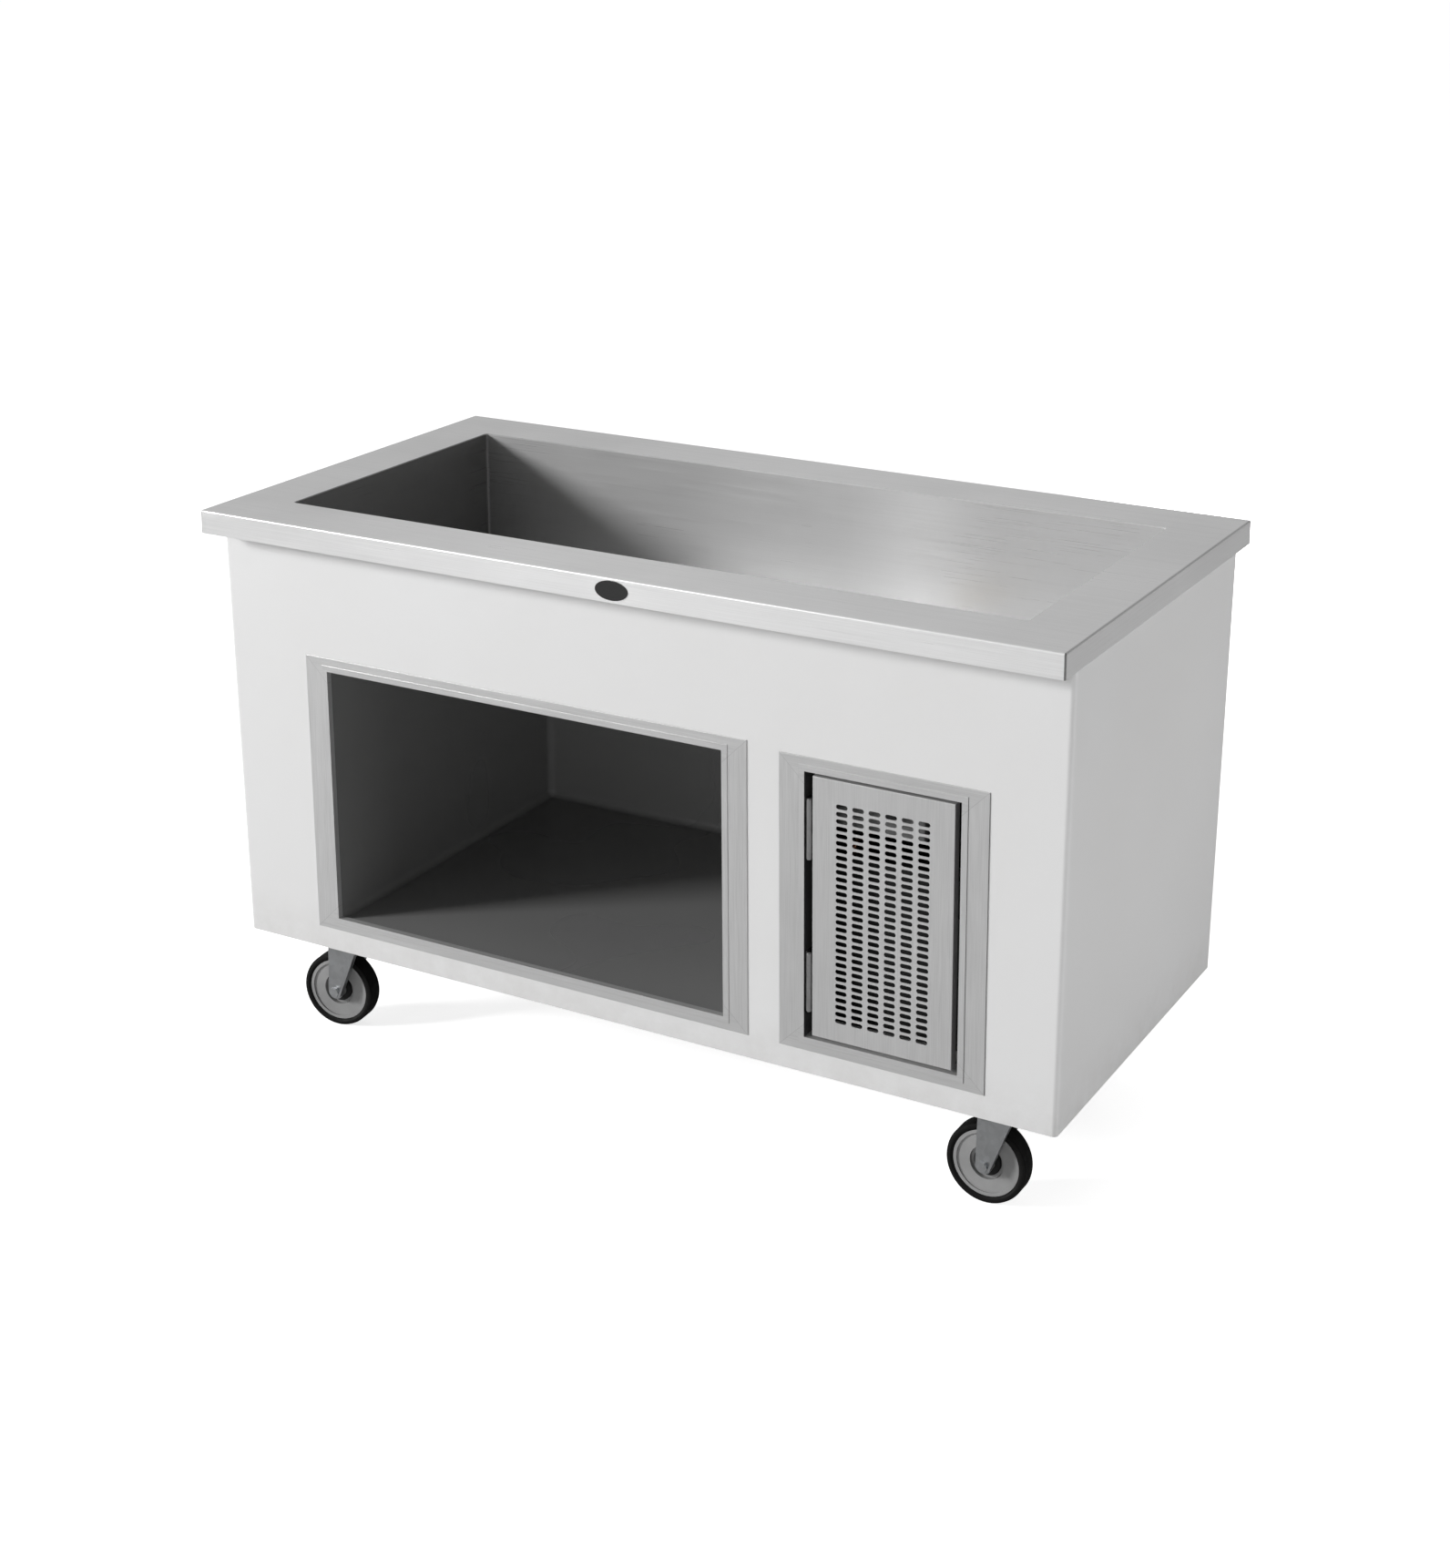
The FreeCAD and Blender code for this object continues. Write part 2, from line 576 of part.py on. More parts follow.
def well_liner():
    """A shallow floor pan with four flanged walls welded round it."""
    reach = WELL_SHEET + WELL_FLANGE
    flange = centred_box(WELL_LENGTH / 2 + reach, WELL_WIDTH / 2 + reach, TOP_UNDER - WELL_SHEET, TOP_UNDER)
    liner = tub(WELL_SHEET, WELL_UNDER, TOP_UNDER).fuse(flange).cut(tub(0, WELL_FLOOR, WORK_HEIGHT))
    pan_region = centred_box(TOP_LENGTH / 2, TOP_DEPTH / 2, WELL_UNDER - CUT, WELL_FLOOR + WELL_FLOOR_RADIUS)
    drain_hole = upright(DRAIN_BOWL_RADIUS + SEAT, DRAIN_X, DRAIN_Y, WELL_UNDER - CUT, WELL_FLOOR + CUT)
    pan = liner.common(pan_region).cut(drain_hole)
    walls = split_round_well(liner.cut(pan_region))
    return Part.makeCompound(pan.Solids + [solid for wall in walls.values() for solid in wall.Solids])


def casing_inner_half():
    grow = WELL_SHEET + SEAT + INSULATION_SIDE + SEAT
    return WELL_LENGTH / 2 + grow, WELL_WIDTH / 2 + grow


def coil_route():
    """One path: up from the machine compartment, to and fro under the well, and down again."""
    points = [V(COIL_LEG_X, COIL_FIRST_Y, LEG_FOOT_Z), V(COIL_LEG_X, COIL_FIRST_Y, COIL_Z)]
    for turn in range(COIL_RUNS - 1):
        x = COIL_LEFT_X if turn % 2 == 0 else COIL_RIGHT_X
        y = COIL_FIRST_Y + turn * COIL_PITCH
        points += [V(x, y, COIL_Z), V(x, y + COIL_PITCH, COIL_Z)]
    return points + [V(COIL_LEG_X, COIL_LAST_Y, COIL_Z), V(COIL_LEG_X, COIL_LAST_Y, LEG_FOOT_Z)]


def well_insulation():
    half_x, half_y = (half - SEAT for half in casing_inner_half())
    block = centred_box(half_x, half_y, CASING_FLOOR + SEAT, TOP_UNDER - WELL_SHEET - SEAT)
    hollow = tub(WELL_SHEET + SEAT, WELL_UNDER - SEAT, WORK_HEIGHT)
    space_x, space_y = WELL_LENGTH / 2 - WELL_FLOOR_RADIUS, WELL_WIDTH / 2 - WELL_FLOOR_RADIUS
    coil_space = centred_box(space_x, space_y, COIL_SPACE_FLOOR, WELL_UNDER)
    drain_hole = upright(DRAIN_BOWL_RADIUS + SEAT, DRAIN_X, DRAIN_Y, CASING_FLOOR - CUT, WELL_FLOOR)
    coil_path = bent_tube(coil_route(), TUBE_RADIUS + SEAT, COIL_LEG_BEND, COIL_PITCH / 2)
    return block.cut(hollow).cut(coil_space).cut(drain_hole).cut(coil_path)


def well_casing():
    half_x, half_y = casing_inner_half()
    outside = centred_box(half_x + CASING_SHEET, half_y + CASING_SHEET, CASING_UNDER, TOP_UNDER)
    inside = centred_box(half_x, half_y, CASING_FLOOR, TOP_UNDER - CASING_SHEET)
    mouth_x, mouth_y = half_x - CASING_FLANGE, half_y - CASING_FLANGE
    mouth = centred_box(mouth_x, mouth_y, TOP_UNDER - CASING_SHEET - CUT, TOP_UNDER + CUT)
    drain_hole = upright(TAIL_RADIUS + SEAT, DRAIN_X, DRAIN_Y, CASING_UNDER - CUT, CASING_FLOOR + CUT)
    leg_holes = [
        upright(TUBE_RADIUS + SEAT, COIL_LEG_X, y, CASING_UNDER - CUT, CASING_FLOOR + CUT)
        for y in (COIL_FIRST_Y, COIL_LAST_Y)
    ]
    return outside.cut(inside).cut(mouth).cut(drain_hole).cut(leg_holes)


def evaporator_coil():
    return bent_tube(coil_route(), TUBE_RADIUS, COIL_LEG_BEND, COIL_PITCH / 2)


# ---------------------------------------------------------------- drain
DRAIN_X = STORAGE_X1 + DRAIN_PAST_STORAGE
VALVE_CENTRE_Z = DECK_TOP + VALVE_ABOVE_DECK
BOWL_TOP = WELL_FLOOR + SEAT + DRAIN_FLANGE_SHEET
LEDGE_TOP = BOWL_TOP - DRAIN_LEDGE_DROP
BOWL_FOOT = WELL_FLOOR - DRAIN_BOWL_DEPTH
TAIL_FOOT = CASING_UNDER - TAIL_BELOW_CASING
SOCKET_RADIUS = PIPE_RADIUS + SEAT
PIPE_BORE = PIPE_RADIUS - PIPE_WALL
VALVE_HEAD = VALVE_CENTRE_Z + VALVE_LENGTH / 2
VALVE_FOOT = VALVE_CENTRE_Z - VALVE_LENGTH / 2
OUTLET_FOOT = CASTER_HEIGHT - OUTLET_BELOW_FRAME
BONNET_Y = DRAIN_Y - BONNET_LENGTH


def drain_fitting():
    """Flanged bowl and tail in one turning, with the nut that clamps it under the well's casing."""
    inner = DRAIN_BOWL_RADIUS - DRAIN_WALL
    outline = [
        (DRAIN_FLANGE_RADIUS, BOWL_TOP - DRAIN_FLANGE_SHEET),
        (DRAIN_BOWL_RADIUS, BOWL_TOP - DRAIN_FLANGE_SHEET),
        (DRAIN_BOWL_RADIUS, BOWL_FOOT),
        (TAIL_RADIUS, BOWL_FOOT - DRAIN_WALL),
        (TAIL_RADIUS, TAIL_FOOT),
        (SOCKET_RADIUS, TAIL_FOOT),
        (SOCKET_RADIUS, TAIL_FOOT + PIPE_SOCKET),
        (PIPE_BORE, TAIL_FOOT + PIPE_SOCKET),
        (PIPE_BORE, BOWL_FOOT),
        (inner - DRAIN_LEDGE, BOWL_FOOT + DRAIN_WALL),
        (inner - DRAIN_LEDGE, LEDGE_TOP),
        (inner, LEDGE_TOP),
        (inner, BOWL_TOP),
        (DRAIN_FLANGE_RADIUS, BOWL_TOP),
    ]
    bowl = turned([V(DRAIN_X + r, DRAIN_Y, z) for r, z in outline], V(DRAIN_X, DRAIN_Y, 0), V(0, 0, 1))
    nut_foot = V(DRAIN_X, DRAIN_Y, CASING_UNDER - DRAIN_NUT_HEIGHT)
    nut_head = V(DRAIN_X, DRAIN_Y, CASING_UNDER)
    nut = hexagon(DRAIN_NUT_RADIUS, nut_foot, nut_head).cut(rod(TAIL_RADIUS + SEAT, nut_foot, nut_head))
    return Part.makeCompound([bowl, nut])


def drain_strainer():
    radius = DRAIN_BOWL_RADIUS - DRAIN_WALL - SEAT
    disc = upright(radius, DRAIN_X, DRAIN_Y, LEDGE_TOP, LEDGE_TOP + STRAINER_SHEET)
    holes = [upright(STRAINER_HOLE_RADIUS, DRAIN_X, DRAIN_Y, LEDGE_TOP - CUT, BOWL_TOP)]
    for ring in range(1, STRAINER_RINGS + 1):
        for k in range(6 * ring):
            angle = k * math.pi / (3 * ring)
            x = DRAIN_X + ring * STRAINER_RING_PITCH * math.cos(angle)
            y = DRAIN_Y + ring * STRAINER_RING_PITCH * math.sin(angle)
            holes.append(upright(STRAINER_HOLE_RADIUS, x, y, LEDGE_TOP - CUT, BOWL_TOP))
    return disc.cut(holes)


def drain_pipes():
    """The pipe from the tail to the valve, and the one from the valve out under the frame, which ends
    in a thicker tail for a hose."""
    bore = upright(PIPE_BORE, DRAIN_X, DRAIN_Y, OUTLET_FOOT - CUT, WELL_FLOOR)
    into_socket = PIPE_SOCKET - SEAT
    upper = upright(PIPE_RADIUS, DRAIN_X, DRAIN_Y, VALVE_HEAD - into_socket, TAIL_FOOT + into_socket)
    lower = upright(PIPE_RADIUS, DRAIN_X, DRAIN_Y, OUTLET_FOOT, VALVE_FOOT + into_socket)
    hose_tail = upright(HOSE_TAIL_RADIUS, DRAIN_X, DRAIN_Y, OUTLET_FOOT, CASTER_HEIGHT)
    return Part.makeCompound([upper.cut(bore), lower.fuse(hose_tail).cut(bore)])


def valve_centre():
    return V(DRAIN_X, DRAIN_Y, VALVE_CENTRE_Z)


def drain_valve():
    barrel = upright(VALVE_RADIUS, DRAIN_X, DRAIN_Y, VALVE_FOOT, VALVE_HEAD)
    bonnet = rod(BONNET_RADIUS, valve_centre(), V(DRAIN_X, BONNET_Y, VALVE_CENTRE_Z))
    valve = barrel.fuse(bonnet)
    valve = valve.cut(Part.makeSphere(BALL_RADIUS + RUN, valve_centre()))
    valve = valve.cut(upright(BALL_BORE_RADIUS, DRAIN_X, DRAIN_Y, VALVE_FOOT - CUT, VALVE_HEAD + CUT))
    valve = valve.cut(upright(SOCKET_RADIUS, DRAIN_X, DRAIN_Y, VALVE_FOOT - CUT, VALVE_FOOT + PIPE_SOCKET))
    valve = valve.cut(upright(SOCKET_RADIUS, DRAIN_X, DRAIN_Y, VALVE_HEAD - PIPE_SOCKET, VALVE_HEAD + CUT))
    stem_end = V(DRAIN_X, BONNET_Y - CUT, VALVE_CENTRE_Z)
    return valve.cut(rod(STEM_RADIUS + RUN, valve_centre(), stem_end))


def drain_lever():
    """Ball, stem and lever, which turn as one.  They are drawn closed: the ball's bore and the lever
    both lie along +X, across the pipe."""
    centre = valve_centre()
    ball = Part.makeSphere(BALL_RADIUS, centre)
    across = V(BALL_RADIUS + CUT, 0, 0)
    ball = ball.cut(rod(BALL_BORE_RADIUS, centre - across, centre + across))
    plate_y = BONNET_Y - 2 * SEAT
    stem_y = plate_y - 2 * LEVER_SHEET
    stem_root = (BALL_BORE_RADIUS + BALL_RADIUS) / 2
    stem = rod(STEM_RADIUS, centre - V(0, stem_root, 0), V(centre.x, stem_y, centre.z))
    half = LEVER_WIDTH / 2
    end_x, bar_y = centre.x + LEVER_LENGTH, plate_y - LEVER_SHEET
    bar = box(centre.x, end_x, bar_y, plate_y, centre.z - half, centre.z + half)
    for x, radius in ((centre.x, BONNET_RADIUS), (end_x, half)):
        bar = bar.fuse(rod(radius, V(x, bar_y, centre.z), V(x, plate_y, centre.z)))
    return ball.fuse(stem).fuse(bar)


# ---------------------------------------------------------------- storage compartment and trims
def rim(x0, x1, z0, z1, side, above, below, y0, y1):
    """A frame round an opening, in the front face's frame."""
    outside = box(x0 - side, x1 + side, y0, y1, z0 - below, z1 + above)
    return outside, box(x0, x1, y0 - CUT, y1 + CUT, z0, z1)


def opening_trim(x0, x1, z0, z1, return_depth):
    """Folded sheet round an opening: a flat face, a raised lip and a fold that lines the opening."""
    face, hole = rim(x0, x1, z0, z1, TRIM_SIDE, TRIM_ABOVE, TRIM_BELOW, -TRIM_SHEET, 0)
    lip_front = -TRIM_SHEET - TRIM_LIP_RISE
    lip, _ = rim(x0, x1, z0, z1, TRIM_LIP, TRIM_LIP, TRIM_LIP, lip_front, 0)
    fold, through = rim(x0, x1, z0, z1, TRIM_SHEET, TRIM_SHEET, TRIM_SHEET, -TRIM_SHEET, return_depth)
    face = rounded(face, TRIM_EDGE_RADIUS, at_depth(-TRIM_SHEET))
    lip = rounded(lip, TRIM_EDGE_RADIUS, at_depth(lip_front))
    trim = face.fuse(lip).fuse(fold).cut(hole).cut(through)
    return on_front(trim.removeSplitter())


def storage_trim():
    return opening_trim(STORAGE_X0, STORAGE_X1, OPENING_SILL, STORAGE_TOP, STORAGE_RETURN)


def louvre_trim():
    return opening_trim(LOUVRE_X0, LOUVRE_X1, OPENING_SILL, LOUVRE_TOP, LOUVRE_RETURN)


def storage_liner():
    """A one-piece tub: floor, ceiling, ends and back, with round inner corners behind a square mouth
    that takes the trim's fold."""
    front = -body_half(TURNDOWN_FOOT)[1] - CUT
    back = body_half(DECK_TOP)[1] - BODY_PANEL - LINER_BACK_GAP
    low, high = BODY_BOTTOM + OPENING_SILL - LINER_OUTSET, BODY_BOTTOM + STORAGE_TOP + LINER_OUTSET
    left, right = STORAGE_X0 - LINER_OUTSET, STORAGE_X1 + LINER_OUTSET
    mouth_back = STORAGE_RETURN - body_half(BODY_BOTTOM + STORAGE_RETURN)[1]

    def behind_front(edge):
        return edge.BoundBox.YMax > front + SEAT

    outside = box(left - LINER_WALL, right + LINER_WALL, front, back, low - LINER_WALL, high + LINER_WALL)
    outside = rounded(outside, LINER_WALL, behind_front)
    inside = rounded(box(left, right, front, back - LINER_WALL, low, high), LINER_RADIUS, behind_front)
    mouth = box(left, right, front, mouth_back, low, high)
    return outside.cut(inside).cut(mouth).cut(before_front())


# ---------------------------------------------------------------- slotted door, hinges and catch
HINGE_AXIS_X = DOOR_X0 - HINGE_AXIS_FROM_DOOR
HINGE_AXIS_Y = DOOR_FACE + HINGE_AXIS_BEHIND_DOOR
HINGE_CENTRES = (DOOR_FOOT + HINGE_FROM_END, DOOR_HEAD - HINGE_FROM_END)
KNUCKLE_LENGTH = HINGE_LENGTH / HINGE_KNUCKLES
LEAF_FRONT = HINGE_AXIS_Y + HINGE_BARREL_RADIUS - HINGE_SHEET


def door_slots():
    """Rows and columns of slots with round ends, as cutting tools."""
    tools = []
    middle = (DOOR_X0 + DOOR_X1) / 2
    half_flat = (SLOT_LENGTH - SLOT_WIDTH) / 2
    up, across = V(0, 0, SLOT_WIDTH / 2), V(SLOT_WIDTH / 2, 0, 0)
    for column in range(SLOT_COLUMNS):
        x = middle + (column - (SLOT_COLUMNS - 1) / 2) * SLOT_COLUMN_PITCH
        for row in range(SLOT_ROWS):
            z = DOOR_FOOT + SLOT_FIRST_ROW + row * SLOT_ROW_PITCH
            left, right = V(x - half_flat, DOOR_FACE - CUT, z), V(x + half_flat, DOOR_FACE - CUT, z)
            edges = [
                Part.LineSegment(left + up, right + up).toShape(),
                Part.Arc(right + up, right + across, right - up).toShape(),
                Part.LineSegment(right - up, left - up).toShape(),
                Part.Arc(left - up, left - across, left + up).toShape(),
            ]
            tools.append(Part.Face(Part.Wire(edges)).extrude(V(0, 2 * CUT, 0)))
    return tools


def louvre_door():
    """A shallow pan: the slotted sheet with all four edges turned back."""
    outside = box(DOOR_X0, DOOR_X1, DOOR_FACE, DOOR_BACK, DOOR_FOOT, DOOR_HEAD)
    outside = rounded(outside, DOOR_EDGE_RADIUS, at_depth(DOOR_FACE))
    x0, x1 = DOOR_X0 + DOOR_SHEET, DOOR_X1 - DOOR_SHEET
    z0, z1 = DOOR_FOOT + DOOR_SHEET, DOOR_HEAD - DOOR_SHEET
    inside = box(x0, x1, DOOR_FACE + DOOR_SHEET, DOOR_BACK + CUT, z0, z1)
    return on_front(outside.cut(inside).cut(door_slots()))


def hinge_leaf(centre, leaf_x, first_knuckle):
    """One leaf of a hinge with every second knuckle.  The leaf lies against leaf_x."""
    foot = centre - HINGE_LENGTH / 2
    away = HINGE_SHEET if leaf_x < HINGE_AXIS_X else -HINGE_SHEET
    depth = HINGE_FRAME_LEAF if leaf_x < HINGE_AXIS_X else HINGE_DOOR_LEAF
    xs = sorted((leaf_x, leaf_x + away))
    leaf = box(*xs, LEAF_FRONT, HINGE_AXIS_Y + depth, foot, foot + HINGE_LENGTH)
    for knuckle in range(first_knuckle, HINGE_KNUCKLES, 2):
        z0 = foot + knuckle * KNUCKLE_LENGTH + SEAT / 2
        z1 = z0 + KNUCKLE_LENGTH - SEAT
        web = box(*sorted((leaf_x, HINGE_AXIS_X)), LEAF_FRONT, LEAF_FRONT + HINGE_SHEET, z0, z1)
        leaf = leaf.fuse(web).fuse(upright(HINGE_BARREL_RADIUS, HINGE_AXIS_X, HINGE_AXIS_Y, z0, z1))
    bore = upright(HINGE_PIN_RADIUS + RUN, HINGE_AXIS_X, HINGE_AXIS_Y, foot - CUT, foot + HINGE_LENGTH + CUT)
    return leaf.cut(bore)


def hinge_frame_leaves():
    return on_front(Part.makeCompound([hinge_leaf(centre, LOUVRE_X0, 0) for centre in HINGE_CENTRES]))


def hinge_door_leaves():
    return on_front(Part.makeCompound([hinge_leaf(centre, DOOR_X0, 1) for centre in HINGE_CENTRES]))


def hinge_pins():
    pins = []
    for centre in HINGE_CENTRES:
        z0, z1 = centre - HINGE_LENGTH / 2, centre + HINGE_LENGTH / 2
        pin = upright(HINGE_PIN_RADIUS, HINGE_AXIS_X, HINGE_AXIS_Y, z0, z1)
        for head_z in (z0 - HINGE_PIN_HEAD, z1):
            head = upright(HINGE_PIN_HEAD_RADIUS, HINGE_AXIS_X, HINGE_AXIS_Y, head_z, head_z + HINGE_PIN_HEAD)
            pin = pin.fuse(head)
        pins.append(pin)
    return on_front(Part.makeCompound(pins))


def door_magnet():
    """A catch on the trim's fold that the door's free edge closes against."""
    y0 = DOOR_BACK + SEAT
    z0 = (DOOR_FOOT + DOOR_HEAD - MAGNET_HEIGHT) / 2
    return on_front(box(LOUVRE_X1 - MAGNET_LENGTH, LOUVRE_X1, y0, y0 + MAGNET_DEPTH, z0, z0 + MAGNET_HEIGHT))


def badge_plate():
    """A bare oval plate on the turned-down front edge."""
    centre = V(BADGE_X, -TOP_DEPTH / 2, WORK_HEIGHT - BADGE_DROP)
    oval = Part.Ellipse(centre, BADGE_LENGTH / 2, BADGE_HEIGHT / 2)
    edge = oval.toShape()
    edge.rotate(centre, V(1, 0, 0), 90)
    return Part.Face(Part.Wire(edge)).extrude(V(0, -BADGE_SHEET, 0))


# ---------------------------------------------------------------- base frame and deck
def channel(x0, x1, y0, y1, along_x):
    """A channel with its web at the bottom and its two walls up to the deck."""
    outside = box(x0, x1, y0, y1, CASTER_HEIGHT, DECK_UNDER)
    gap_x, gap_y = (-CUT, CHANNEL_SHEET) if along_x else (CHANNEL_SHEET, -CUT)
    web_top = CASTER_HEIGHT + CHANNEL_SHEET
    return outside.cut(box(x0 + gap_x, x1 - gap_x, y0 + gap_y, y1 - gap_y, web_top, DECK_UNDER + CUT))


def caster_places():
    """Name, swivel axis and rest angle of each caster."""
    end = TOP_LENGTH / 2
    places = {
        "front_left": (FRONT_CASTER_FROM_LEFT - end, -RAIL_CENTRE_Y),
        "front_right": (end - FRONT_CASTER_FROM_RIGHT, -RAIL_CENTRE_Y),
        "rear_left": (REAR_CASTER_FROM_END - end, RAIL_CENTRE_Y),
        "rear_right": (end - REAR_CASTER_FROM_END, RAIL_CENTRE_Y),
    }
    return [(place, x, y, SWIVEL_ANGLES[place]) for place, (x, y) in places.items()]


def plate_hole_places():
    """Every caster bolt's place, four to each caster."""
    half_x, half_y = PLATE_HOLES_X / 2, PLATE_HOLES_Y / 2
    return [
        (x + side_x * half_x, y + side_y * half_y)
        for _, x, y, _ in caster_places()
        for side_x in (-1, 1)
        for side_y in (-1, 1)
    ]


def base_frame():
    """Two rails along the body and three cross channels between them."""
    end = body_half(BODY_BOTTOM)[0] - BODY_PANEL - RAIL_END_GAP
    half = RAIL_WIDTH / 2
    inner_y = RAIL_CENTRE_Y - half
    frame = []
    for side in (-1, 1):
        rail = channel(-end, end, side * RAIL_CENTRE_Y - half, side * RAIL_CENTRE_Y + half, True)
        for x, y in plate_hole_places():
            rail = rail.cut(upright(PLATE_HOLE_RADIUS, x, y, 0, DECK_UNDER))
        frame.append(rail)
    for x in (CROSS_FROM_END - end, STORAGE_X1 + DIVIDER_PAST_STORAGE, end - CROSS_FROM_END):
        frame.append(channel(x - CROSS_WIDTH / 2, x + CROSS_WIDTH / 2, -inner_y, inner_y, False))
    return Part.makeCompound(frame)


def bottom_deck():
    half_x, half_y = (half - BODY_PANEL - SEAT for half in body_half(DECK_UNDER))
    deck = centred_box(half_x, half_y, DECK_UNDER, DECK_TOP)
    deck = deck.cut(upright(PIPE_RADIUS + DECK_HOLE_GAP, DRAIN_X, DRAIN_Y, DECK_UNDER - CUT, DECK_TOP + CUT))
    first_x = UNIT_LEFT + (UNIT_LENGTH - (VENT_COLUMNS - 1) * VENT_PITCH_X) / 2
    first_y = UNIT_FRONT + UNIT_WIDTH + VENT_PITCH_Y
    vents = []
    for column in range(VENT_COLUMNS):
        for row in range(VENT_ROWS):
            x, y = first_x + column * VENT_PITCH_X, first_y + row * VENT_PITCH_Y
            vent = centred_box(VENT_LENGTH / 2, VENT_WIDTH / 2, DECK_UNDER - CUT, DECK_TOP + CUT)
            vent.translate(V(x, y, 0))
            vents.append(vent)
    return deck.cut(vents)


# ---------------------------------------------------------------- casters
def caster_plate(x, y):
    """Fixed part: bolt plate, upper race and the kingpin that carries the fork."""
    plate_under = CASTER_HEIGHT - PLATE_SHEET
    plate = centred_box(PLATE_LENGTH / 2, PLATE_WIDTH / 2, plate_under, CASTER_HEIGHT)
    plate.translate(V(x, y, 0))
    plate = rounded(plate, PLATE_CORNER_RADIUS, is_upright)
    top = CASTER_HEIGHT + CUT
    holes = [upright(PLATE_HOLE_RADIUS, hole_x, hole_y, 0, top) for hole_x, hole_y in plate_hole_places()]
    race = upright(RACE_RADIUS, x, y, plate_under - RACE_HEIGHT, plate_under)
    pin = upright(KINGPIN_RADIUS, x, y, CROWN_UNDER - SEAT, plate_under)
    head = upright(KINGPIN_HEAD_RADIUS, x, y, CROWN_UNDER - SEAT - KINGPIN_HEAD_HEIGHT, CROWN_UNDER - SEAT)
    return plate.cut(holes).fuse(race).fuse(pin).fuse(head)


CROWN_TOP = CASTER_HEIGHT - PLATE_SHEET - RACE_HEIGHT - SEAT
CROWN_UNDER = CROWN_TOP - CROWN_SHEET


def tangent_point(centre, radius, outside, side):
    """Where a line from a point outside a circle touches it, in the XZ plane.  side 1 takes the touching
    point ahead of the line to the point, going anticlockwise from +X to +Z, and -1 the one behind it."""
    offset = outside - centre
    angle = math.atan2(offset.z, offset.x) + side * math.acos(radius / offset.Length)
    return centre + V(radius * math.cos(angle), 0, radius * math.sin(angle))


def caster_fork(x, y):
    """Swivelling part: a crown with two legs that taper down to the axle's eye, each stiffened by a
    flange along its front edge."""
    axle = V(x - CASTER_TRAIL, 0, WHEEL_RADIUS)
    top_rear = V(axle.x - FORK_LEG_BACK, 0, CROWN_TOP)
    top_front = V(x + FORK_LEG_REACH, 0, CROWN_TOP)
    touch_rear = tangent_point(axle, FORK_EYE_RADIUS, top_rear, 1)
    touch_front = tangent_point(axle, FORK_EYE_RADIUS, top_front, -1)
    outline = [top_rear, top_front, touch_front, axle, touch_rear]
    sheet = V(FORK_SHEET, 0, 0)
    edge = [top_front, touch_front, touch_front - sheet, top_front - sheet]
    inner, outer = FORK_GAP / 2, FORK_GAP / 2 + FORK_SHEET
    fork = box(top_rear.x, top_front.x, y - outer, y + outer, CROWN_UNDER, CROWN_TOP)
    fork = fork.fuse(upright(CROWN_RADIUS, x, y, CROWN_UNDER, CROWN_TOP))
    for side in (-1, 1):
        from_middle, thickness = V(0, y + side * inner, 0), V(0, side * FORK_SHEET, 0)
        leg = prism([point + from_middle for point in outline], thickness)
        flange = prism([point + from_middle for point in edge], V(0, side * (FORK_SHEET + FORK_FLANGE), 0))
        eye = rod(FORK_EYE_RADIUS, axle + from_middle, axle + from_middle + thickness)
        fork = fork.fuse(leg).fuse(flange).fuse(eye)
    kingpin_hole = upright(KINGPIN_RADIUS + RUN, x, y, CROWN_UNDER - CUT, CROWN_TOP + CUT)
    axle_hole = rod(AXLE_RADIUS + SEAT, axle + V(0, y - outer - CUT, 0), axle + V(0, y + outer + CUT, 0))
    return fork.cut(kingpin_hole).cut(axle_hole).removeSplitter()


def caster_axle(x, y):
    """Bolt through both legs, with its head on one side and its nut on the other."""
    axle = V(x - CASTER_TRAIL, y, WHEEL_RADIUS)
    outer = FORK_GAP / 2 + FORK_SHEET
    head_end, nut_end = outer + AXLE_HEAD_HEIGHT, outer + AXLE_HEAD_HEIGHT + BOLT_TIP
    bolt = rod(AXLE_RADIUS, axle - V(0, head_end, 0), axle + V(0, nut_end, 0))
    head = hexagon(AXLE_HEAD_RADIUS, axle - V(0, head_end, 0), axle - V(0, outer, 0))
    nut = hexagon(AXLE_HEAD_RADIUS, axle + V(0, outer, 0), axle + V(0, head_end, 0))
    return bolt.fuse(head).fuse(nut)


def wheel_turning(x, y, outline):
    """A full turn about the axle of an outline given as (radius, distance from the wheel's middle)."""
    axle = V(x - CASTER_TRAIL, y, WHEEL_RADIUS)
    return turned([axle + V(radius, offset, 0) for radius, offset in outline], axle, V(0, 1, 0))


def mirrored(half_outline):
    """A wheel's outline on both sides of its middle plane."""
    return half_outline + [(radius, -offset) for radius, offset in reversed(half_outline)]


def caster_wheel(x, y):
    hub_half = FORK_GAP / 2 - HUB_SIDE_GAP
    rim_radius = WHEEL_RADIUS - TYRE_THICKNESS
    return wheel_turning(x, y, mirrored([
        (AXLE_RADIUS + RUN, hub_half),
        (HUB_RADIUS, hub_half),
        (HUB_RADIUS, WEB_HALF),
        (DISC_INNER_RADIUS, WEB_HALF),
        (DISC_INNER_RADIUS, DISC_HALF),
        (rim_radius - RIM_BEAD, DISC_HALF),
        (rim_radius - RIM_BEAD, RIM_HALF),
        (rim_radius, RIM_HALF),
    ]))


